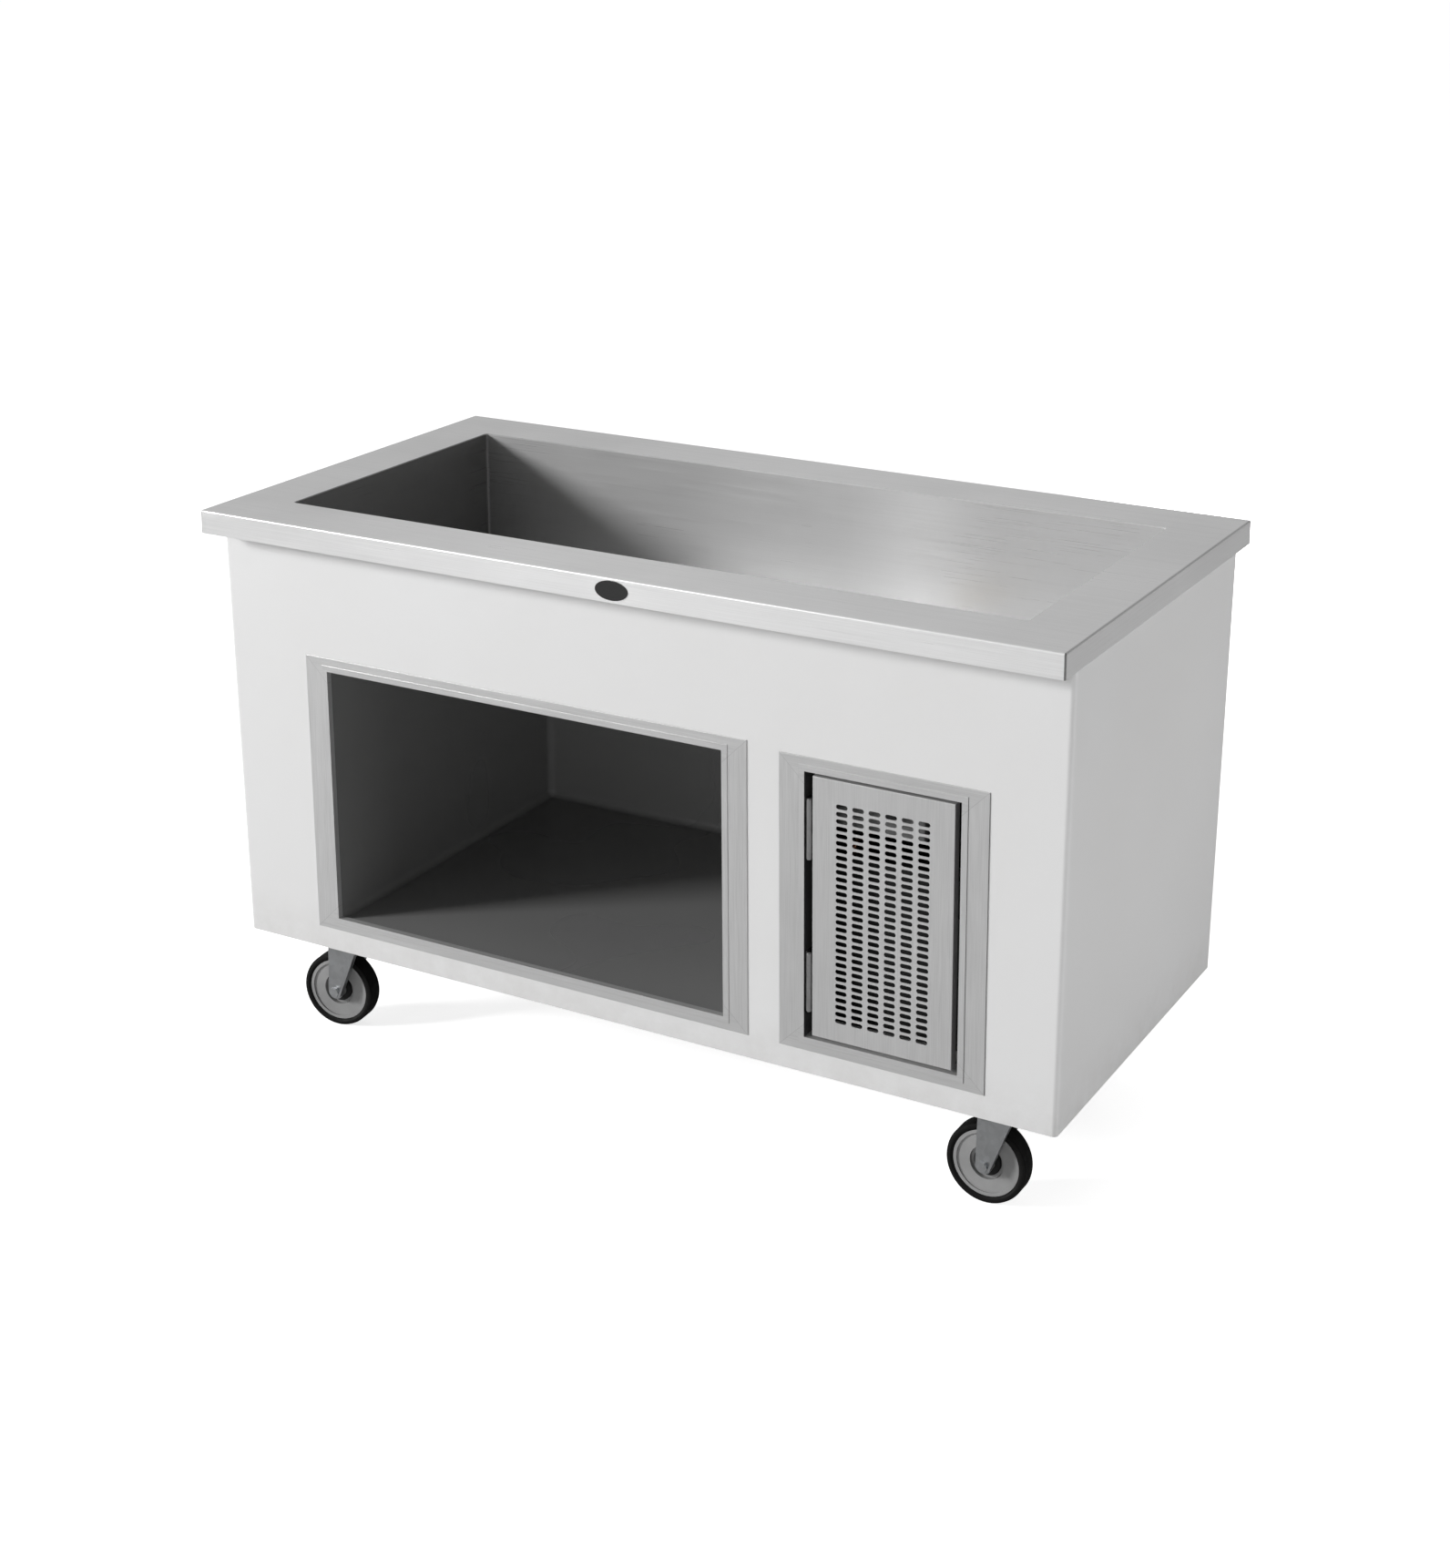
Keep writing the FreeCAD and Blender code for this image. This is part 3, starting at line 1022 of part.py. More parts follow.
def caster_tyre(x, y):
    inner = WHEEL_RADIUS - TYRE_THICKNESS + SEAT
    half = TREAD_WIDTH / 2
    return wheel_turning(x, y, mirrored([
        (inner, RIM_HALF),
        (inner + TYRE_SHOULDER, half),
        (WHEEL_RADIUS - TYRE_SHOULDER, half),
        (WHEEL_RADIUS - TYRE_SHOULDER / 4, half - TYRE_SHOULDER / 4),
        (WHEEL_RADIUS, half - TYRE_SHOULDER),
    ]))


def caster_nodes():
    """The five pieces of each caster, the moving ones swung to the caster's rest angle."""
    nodes = {}
    for place, x, y, angle in caster_places():
        nodes["caster_plate_" + place] = caster_plate(x, y)
        moving = {"fork": caster_fork, "axle": caster_axle, "wheel": caster_wheel, "tyre": caster_tyre}
        for piece, make in moving.items():
            shape = make(x, y)
            shape.rotate(V(x, y, 0), V(0, 0, 1), angle)
            nodes["caster_" + piece + "_" + place] = shape
    return nodes


def caster_bolts():
    """Hex bolts up through the plates and the rails' webs, each with its own nut."""
    plate_under = CASTER_HEIGHT - PLATE_SHEET
    web_top = CASTER_HEIGHT + CHANNEL_SHEET
    solids = []
    for x, y in plate_hole_places():
        head = hexagon(BOLT_HEAD_RADIUS, V(x, y, plate_under - BOLT_HEAD_HEIGHT), V(x, y, plate_under))
        solids.append(head.fuse(upright(BOLT_RADIUS, x, y, plate_under, web_top + NUT_HEIGHT + BOLT_TIP)))
        nut = hexagon(BOLT_HEAD_RADIUS, V(x, y, web_top), V(x, y, web_top + NUT_HEIGHT))
        solids.append(nut.cut(upright(BOLT_RADIUS + RUN, x, y, web_top - CUT, web_top + NUT_HEIGHT + CUT)))
    return Part.makeCompound(solids)


# ---------------------------------------------------------------- condensing unit
UNIT_LEFT = BODY_RIGHT - UNIT_FROM_RIGHT - UNIT_LENGTH
UNIT_FRONT = UNIT_FROM_EDGE - TOP_DEPTH / 2
CONTROL_FOOT = CASING_UNDER - CONTROL_HEIGHT
CONDENSER_HEIGHT = CONTROL_FOOT - CONTROL_ABOVE_CONDENSER - UNIT_TOP
RETURN_PITCH = (CONDENSER_HEIGHT - 2 * RETURN_MARGIN) / RETURN_BENDS
RETURN_RADIUS = RETURN_PITCH / 4
SHROUD_RING_RADIUS = CONDENSER_HEIGHT / 2 - SHROUD_RING_MARGIN
FAN_RADIUS = SHROUD_RING_RADIUS - FAN_TIP_GAP
CONDENSER_X0 = UNIT_LEFT + CONDENSER_LEFT
CONDENSER_X1 = CONDENSER_X0 + CONDENSER_LENGTH
CONDENSER_Y0 = UNIT_FRONT + CONDENSER_FRONT
CONDENSER_Y1 = CONDENSER_Y0 + CONDENSER_WIDTH
CONDENSER_TOP = UNIT_TOP + CONDENSER_HEIGHT
FAN_X = (CONDENSER_X0 + CONDENSER_X1) / 2
FAN_Z = UNIT_TOP + CONDENSER_HEIGHT / 2
FAN_Y0 = CONDENSER_Y1 + FAN_BEHIND_CONDENSER
FAN_Y1 = FAN_Y0 + FAN_HUB_DEPTH
MOTOR_Y0 = FAN_Y1 + MOTOR_BEHIND_FAN
MOTOR_Y1 = MOTOR_Y0 + MOTOR_LENGTH
FOOT_PLATE_UNDER = UNIT_TOP + GROMMET_HEIGHT
CAN_FOOT = FOOT_PLATE_UNDER + FOOT_PLATE_SHEET
CAN_HEAD = CAN_FOOT + CONDENSER_HEIGHT - COMPRESSOR_BELOW_CONDENSER
COMPRESSOR_X = UNIT_LEFT + COMPRESSOR_FROM_LEFT
RECEIVER_X = COIL_LEG_X
RECEIVER_Y = COIL_LAST_Y - RECEIVER_TO_COIL
RECEIVER_FOOT = UNIT_TOP
RECEIVER_HEAD = CONDENSER_TOP - RECEIVER_BELOW_CONDENSER


def foot_hole_places():
    half_x, half_y = FOOT_HOLES_X / 2, FOOT_HOLES_Y / 2
    return [
        (COMPRESSOR_X + side_x * half_x, COMPRESSOR_Y + side_y * half_y)
        for side_x in (-1, 1)
        for side_y in (-1, 1)
    ]


def unit_base():
    """A tray turned upside down, with the fan motor's cradle welded to its top."""
    x0, x1, y0, y1 = UNIT_LEFT, UNIT_LEFT + UNIT_LENGTH, UNIT_FRONT, UNIT_FRONT + UNIT_WIDTH
    tray = box(x0, x1, y0, y1, DECK_TOP, UNIT_TOP)
    sheet_under = UNIT_TOP - UNIT_SHEET
    tray = tray.cut(box(x0 - CUT, x1 + CUT, y0 + UNIT_SHEET, y1 - UNIT_SHEET, DECK_TOP - CUT, sheet_under))
    post_y = (MOTOR_Y0 + MOTOR_Y1) / 2
    half = BRACKET_WIDTH / 2
    post_top = FAN_Z - math.sqrt(MOTOR_RADIUS ** 2 - half ** 2)
    post = box(FAN_X - half, FAN_X + half, post_y, post_y + BRACKET_SHEET, UNIT_TOP, post_top)
    post = post.cut(rod(MOTOR_RADIUS + SEAT, V(FAN_X, MOTOR_Y0, FAN_Z), V(FAN_X, MOTOR_Y1, FAN_Z)))
    foot = box(FAN_X - half, FAN_X + half, post_y, post_y + BRACKET_FOOT, UNIT_TOP, UNIT_TOP + BRACKET_SHEET)
    radius = MOUNT_BOLT_RADIUS + SEAT
    holes = [upright(radius, x, y, sheet_under - CUT, UNIT_TOP + CUT) for x, y in foot_hole_places()]
    return tray.fuse(post).fuse(foot).cut(holes)


def compressor():
    """Welded can on its foot plate, with the cover of its terminals on the right."""
    can = upright(COMPRESSOR_RADIUS, COMPRESSOR_X, COMPRESSOR_Y, CAN_FOOT, CAN_HEAD)
    can = rounded(can, COMPRESSOR_DOME, at_height(CAN_HEAD))
    seam_z = (CAN_FOOT + CAN_HEAD) / 2
    seam_radius = COMPRESSOR_RADIUS + COMPRESSOR_SEAM_RISE
    seam = upright(seam_radius, COMPRESSOR_X, COMPRESSOR_Y, seam_z, seam_z + COMPRESSOR_SEAM_HEIGHT)
    plate = centred_box(FOOT_PLATE_LENGTH / 2, FOOT_PLATE_WIDTH / 2, FOOT_PLATE_UNDER, CAN_FOOT)
    plate.translate(V(COMPRESSOR_X, COMPRESSOR_Y, 0))
    for x, y in foot_hole_places():
        plate = plate.cut(upright(MOUNT_BOLT_RADIUS + SEAT, x, y, UNIT_TOP, CAN_FOOT + CUT))
    cover_z = seam_z + 2 * COMPRESSOR_SEAM_HEIGHT
    cover_x = COMPRESSOR_RADIUS + TERMINAL_LENGTH
    cover_head = CAN_HEAD - TERMINAL_BELOW_HEAD
    cover = box(0, cover_x, -TERMINAL_WIDTH / 2, TERMINAL_WIDTH / 2, cover_z, cover_head)
    cover.translate(V(COMPRESSOR_X, COMPRESSOR_Y, 0))
    return can.fuse(seam).fuse(plate).fuse(cover)


def compressor_mounts():
    """Soft feet under the foot plate, each with its bolt."""
    solids = []
    for x, y in foot_hole_places():
        grommet = upright(GROMMET_RADIUS, x, y, UNIT_TOP, FOOT_PLATE_UNDER)
        solids.append(grommet.cut(upright(MOUNT_BOLT_RADIUS + SEAT, x, y, UNIT_TOP - CUT, CAN_FOOT)))
        shank = upright(MOUNT_BOLT_RADIUS, x, y, UNIT_TOP - UNIT_SHEET, CAN_FOOT)
        head = hexagon(BOLT_HEAD_RADIUS, V(x, y, CAN_FOOT), V(x, y, CAN_FOOT + BOLT_HEAD_HEIGHT))
        solids.append(shank.fuse(head))
    return Part.makeCompound(solids)


def condenser_coil():
    """Finned block between two end plates, with the tube's return bends at its left end."""
    x0, x1 = CONDENSER_X0 + CONDENSER_PLATE, CONDENSER_X1 - CONDENSER_PLATE
    coil = box(x0, x1, CONDENSER_Y0, CONDENSER_Y1, UNIT_TOP, CONDENSER_TOP)
    plate_y, plate_top = CONDENSER_Y0 - CONDENSER_PLATE_RISE, CONDENSER_TOP + CONDENSER_PLATE_RISE
    for x in (CONDENSER_X0, x1):
        coil = coil.fuse(box(x, x + CONDENSER_PLATE, plate_y, CONDENSER_Y1, UNIT_TOP, plate_top))
    middle_y = (CONDENSER_Y0 + CONDENSER_Y1) / 2
    reach = CONDENSER_X0 - RETURN_RADIUS - TUBE_RADIUS
    inside = CONDENSER_X0 + CONDENSER_PLATE
    for bend in range(RETURN_BENDS):
        z0 = UNIT_TOP + RETURN_PITCH / 4 + RETURN_PITCH * bend
        z1 = z0 + 2 * RETURN_RADIUS
        points = [V(x, middle_y, z) for x, z in ((inside, z0), (reach, z0), (reach, z1), (inside, z1))]
        coil = coil.fuse(bent_tube(points, TUBE_RADIUS, RETURN_RADIUS))
    return coil


def fan_shroud():
    """Plate behind the condenser with a round collar about the fan."""
    front = V(FAN_X, CONDENSER_Y1, FAN_Z)
    depth, beyond = V(0, SHROUD_RING_DEPTH, 0), V(0, CUT, 0)
    plate_back = CONDENSER_Y1 + SHROUD_SHEET
    plate = box(CONDENSER_X0, CONDENSER_X1, CONDENSER_Y1, plate_back, UNIT_TOP, CONDENSER_TOP)
    collar = rod(SHROUD_RING_RADIUS, front, front + depth)
    hole = rod(SHROUD_RING_RADIUS - SHROUD_SHEET, front - beyond, front + depth + beyond)
    return plate.fuse(collar).cut(hole)


def fan_blade():
    """Hub, pitched blades and the shaft that runs in the motor."""
    middle_y = (FAN_Y0 + FAN_Y1) / 2
    half_chord, half_sheet = FAN_BLADE_CHORD / 2, FAN_BLADE_SHEET / 2
    root = FAN_HUB_RADIUS - FAN_BLADE_SHEET
    blade = box(-half_chord, half_chord, -half_sheet, half_sheet, root, FAN_RADIUS)
    blade.rotate(V(0, 0, 0), V(0, 0, 1), FAN_BLADE_PITCH)
    fan = rod(FAN_HUB_RADIUS, V(0, FAN_Y0 - middle_y, 0), V(0, FAN_Y1 - middle_y, 0))
    for k in range(FAN_BLADES):
        turned_blade = blade.copy()
        turned_blade.rotate(V(0, 0, 0), V(0, 1, 0), k * 360 / FAN_BLADES)
        fan = fan.fuse(turned_blade)
    fan = fan.common(rod(FAN_RADIUS, V(0, -FAN_RADIUS, 0), V(0, FAN_RADIUS, 0)))
    shaft = rod(FAN_SHAFT_RADIUS, V(0, 0, 0), V(0, MOTOR_Y0 + FAN_SHAFT_IN_MOTOR - middle_y, 0))
    fan = fan.fuse(shaft)
    fan.translate(V(FAN_X, middle_y, FAN_Z))
    return fan


def fan_motor():
    can = rod(MOTOR_RADIUS, V(FAN_X, MOTOR_Y0, FAN_Z), V(FAN_X, MOTOR_Y1, FAN_Z))
    can = rounded(can, MOTOR_EDGE_RADIUS, lambda edge: edge.BoundBox.YLength < SEAT)
    bore_end = V(FAN_X, MOTOR_Y0 + FAN_SHAFT_IN_MOTOR + SEAT, FAN_Z)
    return can.cut(rod(FAN_SHAFT_RADIUS + RUN, V(FAN_X, MOTOR_Y0 - CUT, FAN_Z), bore_end))


def liquid_receiver():
    can = upright(RECEIVER_RADIUS, RECEIVER_X, RECEIVER_Y, RECEIVER_FOOT, RECEIVER_HEAD)
    return can.makeFillet(RECEIVER_DOME, [edge for edge in can.Edges if edge.BoundBox.ZLength < SEAT])


def refrigerant_lines():
    """Suction, discharge, condenser to receiver, and receiver to the well's coil."""
    condenser_y = (CONDENSER_Y0 + CONDENSER_Y1) / 2
    suction_x, stub_y = COMPRESSOR_X + LINE_STUB, COMPRESSOR_Y + LINE_STUB
    discharge_x, discharge_y = COMPRESSOR_X - LINE_STUB, COMPRESSOR_Y - LINE_STUB
    side_x = CONDENSER_X1 + LINE_SIDE_REACH
    low_z = UNIT_TOP + RETURN_PITCH / 2
    suction_z = CONDENSER_TOP + SUCTION_ABOVE_CONDENSER
    discharge_z = CONDENSER_TOP + DISCHARGE_ABOVE_CONDENSER
    liquid_z = RECEIVER_HEAD + LIQUID_ABOVE_RECEIVER
    feed_z = LEG_FOOT_Z - FEED_BELOW_LEGS
    in_y, out_y = RECEIVER_Y - LINE_STUB_APART, RECEIVER_Y + LINE_STUB_APART
    routes = [
        [
            V(COIL_LEG_X, COIL_LAST_Y, LEG_FOOT_Z),
            V(COIL_LEG_X, COIL_LAST_Y, suction_z),
            V(suction_x, COIL_LAST_Y, suction_z),
            V(suction_x, stub_y, suction_z),
            V(suction_x, stub_y, CAN_HEAD),
        ],
        [
            V(discharge_x, discharge_y, CAN_HEAD),
            V(discharge_x, discharge_y, discharge_z),
            V(discharge_x, condenser_y, discharge_z),
            V(discharge_x, condenser_y, CONDENSER_TOP),
        ],
        [
            V(CONDENSER_X1, condenser_y, low_z),
            V(side_x, condenser_y, low_z),
            V(side_x, condenser_y, liquid_z),
            V(side_x, in_y, liquid_z),
            V(RECEIVER_X, in_y, liquid_z),
            V(RECEIVER_X, in_y, RECEIVER_HEAD),
        ],
        [
            V(COIL_LEG_X, out_y, RECEIVER_HEAD),
            V(COIL_LEG_X, out_y, feed_z),
            V(COIL_LEG_X, COIL_FIRST_Y, feed_z),
            V(COIL_LEG_X, COIL_FIRST_Y, LEG_FOOT_Z),
        ],
    ]
    return Part.makeCompound([bent_tube(points, TUBE_RADIUS, LINE_BEND) for points in routes])


# ---------------------------------------------------------------- controls and cord gland
CONTROL_LEFT = LOUVRE_X0 + CONTROL_FROM_OPENING
CONTROL_FRONT = UNIT_FRONT + CONTROL_BEHIND_UNIT
CONTROL_LINE = CONTROL_FOOT + CONTROL_LINE_FROM_FOOT
SWITCH_X = CONTROL_LEFT + SWITCH_FROM_LEFT
SWITCH_PIVOT_Y = CONTROL_FRONT + SWITCH_PIVOT_DEPTH
KNOB_X = CONTROL_LEFT + KNOB_FROM_LEFT


def switch_outline():
    """The rocker's side view about its pivot: two flat halves that meet in a shallow V at the front.
    Each point is (towards the front, up)."""
    end_rise = SWITCH_HALF_HEIGHT * math.tan(math.radians(SWITCH_TILT))
    middle_front = SWITCH_PIVOT_DEPTH - end_rise / 2
    end_front = middle_front + end_rise
    return [
        (-SWITCH_BACK, -SWITCH_BACK),
        (-SWITCH_BACK, SWITCH_BACK),
        (end_front - SWITCH_EDGE, SWITCH_HALF_HEIGHT),
        (end_front, SWITCH_HALF_HEIGHT),
        (middle_front, 0),
        (end_front, -SWITCH_HALF_HEIGHT),
        (end_front - SWITCH_EDGE, -SWITCH_HALF_HEIGHT),
    ]


def power_switch():
    """Rocker with its pivot pin, drawn switched off."""
    pivot = V(SWITCH_X, SWITCH_PIVOT_Y, CONTROL_LINE)
    outline = [pivot + V(-SWITCH_LENGTH / 2, -front, up) for front, up in switch_outline()]
    rocker = prism(outline, V(SWITCH_LENGTH, 0, 0))
    pin_reach = SWITCH_LENGTH / 2 + SWITCH_POCKET_GAP + SWITCH_PIN_IN_WALL
    rocker = rocker.fuse(rod(SWITCH_PIN_RADIUS, pivot - V(pin_reach, 0, 0), pivot + V(pin_reach, 0, 0)))
    rocker.rotate(pivot, V(1, 0, 0), -SWITCH_TILT)
    return rocker


def control_box():
    """Closed box under the well's casing, with the switch's pocket and the thermostat's shaft hole."""
    case = box(CONTROL_LEFT, CONTROL_LEFT + CONTROL_LENGTH, CONTROL_FRONT, CONTROL_FRONT + CONTROL_WIDTH,
               CONTROL_FOOT, CASING_UNDER)
    case = rounded(case, CONTROL_EDGE_RADIUS, at_depth(CONTROL_FRONT))
    sweep = max(math.hypot(front, up) for front, up in switch_outline()) + SWITCH_POCKET_GAP
    half_x = SWITCH_LENGTH / 2 + SWITCH_POCKET_GAP
    pocket = box(SWITCH_X - half_x, SWITCH_X + half_x, CONTROL_FRONT - CUT, SWITCH_PIVOT_Y + sweep,
                 CONTROL_LINE - sweep, CONTROL_LINE + sweep)
    pin_reach = half_x + SWITCH_PIN_IN_WALL + SEAT
    pivot = V(SWITCH_X, SWITCH_PIVOT_Y, CONTROL_LINE)
    pin_bore = rod(SWITCH_PIN_RADIUS + RUN, pivot - V(pin_reach, 0, 0), pivot + V(pin_reach, 0, 0))
    shaft_end = V(KNOB_X, CONTROL_FRONT + KNOB_SHAFT_LENGTH + SEAT, CONTROL_LINE)
    shaft_bore = rod(KNOB_SHAFT_RADIUS + RUN, V(KNOB_X, CONTROL_FRONT - CUT, CONTROL_LINE), shaft_end)
    return case.cut(pocket).cut(pin_bore).cut(shaft_bore)


def thermostat_knob():
    """Round knob with a raised pointer, on the shaft that it turns."""
    back = V(KNOB_X, CONTROL_FRONT - 2 * SEAT, CONTROL_LINE)
    front = back - V(0, KNOB_DEPTH, 0)
    knob = rounded(rod(KNOB_RADIUS, back, front), KNOB_EDGE_RADIUS, at_depth(front.y))
    half = KNOB_RIB_WIDTH / 2
    tip_z = CONTROL_LINE + KNOB_RADIUS - KNOB_EDGE_RADIUS
    pointer = box(KNOB_X - half, KNOB_X + half, front.y - KNOB_RIB_RISE, back.y, CONTROL_LINE, tip_z)
    shaft = rod(KNOB_SHAFT_RADIUS, back, V(KNOB_X, CONTROL_FRONT + KNOB_SHAFT_LENGTH, CONTROL_LINE))
    return knob.fuse(pointer).fuse(shaft)


def cord_gland():
    """Threaded gland through the rear panel: hexagon and dome outside, nut inside, bore along +Y."""
    outside = body_half(GLAND_Z)[1] + SEAT
    inside = body_half(GLAND_Z)[1] - BODY_PANEL - SEAT

    def at(y):
        return V(GLAND_X, y, GLAND_Z)

    body = rod(GLAND_THREAD, at(inside - GLAND_NUT_HEIGHT - BOLT_TIP), at(outside))
    hex_end = outside + GLAND_NUT_HEIGHT
    dome_end = hex_end + GLAND_DOME_LENGTH
    body = body.fuse(hexagon(GLAND_HEX, at(outside), at(hex_end)))
    dome = rounded(rod(GLAND_DOME_RADIUS, at(hex_end), at(dome_end)), GLAND_DOME_ROUND, at_depth(dome_end))
    bore = rod(GLAND_BORE, at(inside - GLAND_NUT_HEIGHT - CUT), at(dome_end + CUT))
    nut = hexagon(GLAND_HEX, at(inside - GLAND_NUT_HEIGHT), at(inside))
    nut = nut.cut(rod(GLAND_THREAD + RUN, at(inside - GLAND_NUT_HEIGHT - CUT), at(inside + CUT)))
    return Part.makeCompound([body.fuse(dome).cut(bore), nut])


# ---------------------------------------------------------------- all pieces, one file each
def all_nodes():
    shell = body_shell()
    nodes = {
        "front_panel": front_panel(shell),
        "rear_panel": rear_panel(shell),
        "left_end_panel": shell.common(panel_region(-1, False)),
        "right_end_panel": shell.common(panel_region(1, False)),
    }
    makers = [
        base_frame, bottom_deck, counter_top, well_liner, well_insulation, well_casing, evaporator_coil,
        drain_fitting, drain_strainer, drain_pipes, drain_valve, drain_lever,
        storage_liner, storage_trim, louvre_trim, louvre_door,
        hinge_frame_leaves, hinge_door_leaves, hinge_pins, door_magnet, badge_plate,
        unit_base, compressor, compressor_mounts, condenser_coil, fan_shroud, fan_motor, fan_blade,
        liquid_receiver, refrigerant_lines, control_box, power_switch, thermostat_knob, cord_gland,
        caster_bolts,
    ]
    for make in makers:
        nodes[make.__name__] = make()
    nodes.update(caster_nodes())
    return nodes


for node, shape in all_nodes().items():
    shape.exportStep("parts/" + node + ".step")
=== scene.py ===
import json
import math

import bmesh
import bpy
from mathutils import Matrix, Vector


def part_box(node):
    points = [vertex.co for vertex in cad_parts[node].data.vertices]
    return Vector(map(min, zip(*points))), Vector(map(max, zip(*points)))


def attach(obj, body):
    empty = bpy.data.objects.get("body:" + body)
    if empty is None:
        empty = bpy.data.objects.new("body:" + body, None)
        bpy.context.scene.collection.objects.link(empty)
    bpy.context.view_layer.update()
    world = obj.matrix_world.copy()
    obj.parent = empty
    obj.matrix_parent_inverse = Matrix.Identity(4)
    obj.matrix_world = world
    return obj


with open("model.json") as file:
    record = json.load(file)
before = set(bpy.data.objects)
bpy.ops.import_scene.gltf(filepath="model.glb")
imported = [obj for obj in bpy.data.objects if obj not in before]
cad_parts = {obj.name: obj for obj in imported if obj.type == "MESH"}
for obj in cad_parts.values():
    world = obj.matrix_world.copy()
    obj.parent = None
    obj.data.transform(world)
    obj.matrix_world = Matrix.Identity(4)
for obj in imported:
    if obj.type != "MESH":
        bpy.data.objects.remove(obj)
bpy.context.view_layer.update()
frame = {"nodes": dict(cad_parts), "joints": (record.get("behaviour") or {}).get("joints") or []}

# ---------------------------------------------------------------- small helpers for materials
# the stretch of values that noise mostly fills
NOISE_LOW = 0.3
NOISE_HIGH = 0.7
# a face looks along an axis when its normal's share on that axis is above this
FACING_SHARE = 0.7


def connect(tree, value, socket):
    """Links a socket to a socket, or writes a plain value."""
    if isinstance(value, bpy.types.NodeSocket):
        tree.links.new(value, socket)
    else:
        socket.default_value = value


def add(tree, kind, inputs=None, **settings):
    """Makes a node, with its settings and what goes into its inputs."""
    made = tree.nodes.new(kind)
    for key, value in settings.items():
        setattr(made, key, value)
    for key, value in (inputs or {}).items():
        connect(tree, value, made.inputs[key])
    return made


def colour(level, warmth=0.0):
    """A near-grey colour; warmth above 0 leans to yellow, below 0 to blue."""
    return (level * (1 + warmth), level, level * (1 - warmth), 1.0)


def start_material(name, base, metallic, roughness):
    """A new material with its node tree and its one shader."""
    material = bpy.data.materials.new(name)
    material.use_nodes = True
    tree = material.node_tree
    shader = tree.nodes["Principled BSDF"]
    shader.inputs["Base Color"].default_value = base
    shader.inputs["Metallic"].default_value = metallic
    shader.inputs["Roughness"].default_value = roughness
    return material, tree, shader


def place(tree):
    """Object coordinates, which for the CAD's nodes are the part's own, in metres."""
    return add(tree, "ShaderNodeTexCoord").outputs["Object"]


def vector_maths(tree, operation, first, second, output):
    """One output of a calculation with two vectors."""
    return add(tree, "ShaderNodeVectorMath", {0: first, 1: second}, operation=operation).outputs[output]


def stretched(tree, scale):
    """Object coordinates multiplied axis by axis."""
    return vector_maths(tree, "MULTIPLY", place(tree), scale, 0)


def noise(tree, vector, scale, detail=2.0, roughness=0.5):
    inputs = {"Vector": vector, "Scale": scale, "Detail": detail, "Roughness": roughness}
    return add(tree, "ShaderNodeTexNoise", inputs).outputs[0]


def spread(tree, value, low, high, from_low=NOISE_LOW, from_high=NOISE_HIGH, **settings):
    """Maps a stretch of values, by default the one that noise mostly fills, onto low to high."""
    inputs = {"Value": value, "From Min": from_low, "From Max": from_high, "To Min": low, "To Max": high}
    return add(tree, "ShaderNodeMapRange", inputs, **settings).outputs[0]


def soft_ramp(tree, value, low, high, from_low, from_high):
    """The same with a rounded start and end."""
    return spread(tree, value, low, high, from_low, from_high, interpolation_type="SMOOTHSTEP")


def maths(tree, operation, first, second=0.0):
    return add(tree, "ShaderNodeMath", {0: first, 1: second}, operation=operation).outputs[0]


def mixed(tree, factor, first, second, blend="MIX"):
    inputs = {0: factor, 6: first, 7: second}
    return add(tree, "ShaderNodeMix", inputs, data_type="RGBA", blend_type=blend).outputs[2]


def mixed_vector(tree, factor, first, second):
    return add(tree, "ShaderNodeMix", {0: factor, 4: first, 5: second}, data_type="VECTOR").outputs[1]


def bump(tree, height, distance, normal=None):
    inputs = {"Height": height, "Distance": distance, "Strength": 1.0}
    if normal:
        inputs["Normal"] = normal
    return add(tree, "ShaderNodeBump", inputs).outputs[0]


def axis_of(tree, vector, axis):
    return add(tree, "ShaderNodeSeparateXYZ", {0: vector}).outputs[axis]


def faces_along(tree, axis):
    """1 on faces that look along an axis, 0 on the others."""
    normal = add(tree, "ShaderNodeNewGeometry").outputs["True Normal"]
    along = maths(tree, "ABSOLUTE", axis_of(tree, normal, axis))
    return maths(tree, "GREATER_THAN", along, FACING_SHARE)


# ---------------------------------------------------------------- brushed steel
# how fast the fine grain and the broad streaks change, along and across the brushing
GRAIN_ALONG = 6.0
GRAIN_ACROSS = 900.0
STREAK_ALONG = 1.5
STREAK_ACROSS = 110.0
STEEL_DETAIL = 3.0
CLOUD_SCALE = 5.0
# how strongly streaks and clouds show, and what grain and clouds do to the roughness
STREAK_SHARE = 0.5
CLOUD_SHARE = 0.35
GRAIN_ROUGHNESS = 0.06
CLOUD_ROUGHNESS = 0.03
GRAIN_DEPTH = 0.00002
# the fine line at a trim's mitres
MITRE_WIDTH = 0.0012
MITRE_DEPTH = 0.25
MITRE_TONE = 0.4
# the well's walls carry painted light: where the painted highlight band stands and how wide and bright it
# is, the painted shade at the left, the stretch along X over which that shade fades out, and the painted
# shade on the end walls
PAINTED_HIGHLIGHT_X = 0.22
PAINTED_HIGHLIGHT_HALF = 0.16
PAINTED_HIGHLIGHT_GAIN = 1.2
WELL_LEFT_PAINTED_SHADE = 0.78
WELL_SHADE_FADE_FROM = -0.35
WELL_SHADE_FADE_TO = 0.1
WELL_END_PAINTED_SHADE = 0.5
# the counter: the painted shade at its left end and the painted light from a place along X on, and the weld
# down each corner
COUNTER_LEFT_PAINTED_SHADE = 0.84
COUNTER_PAINTED_LIGHT = 1.08
COUNTER_SHADE_FADE_TO = 0.1
CORNER_WELD = 0.0025
WELD_TONE = 0.35
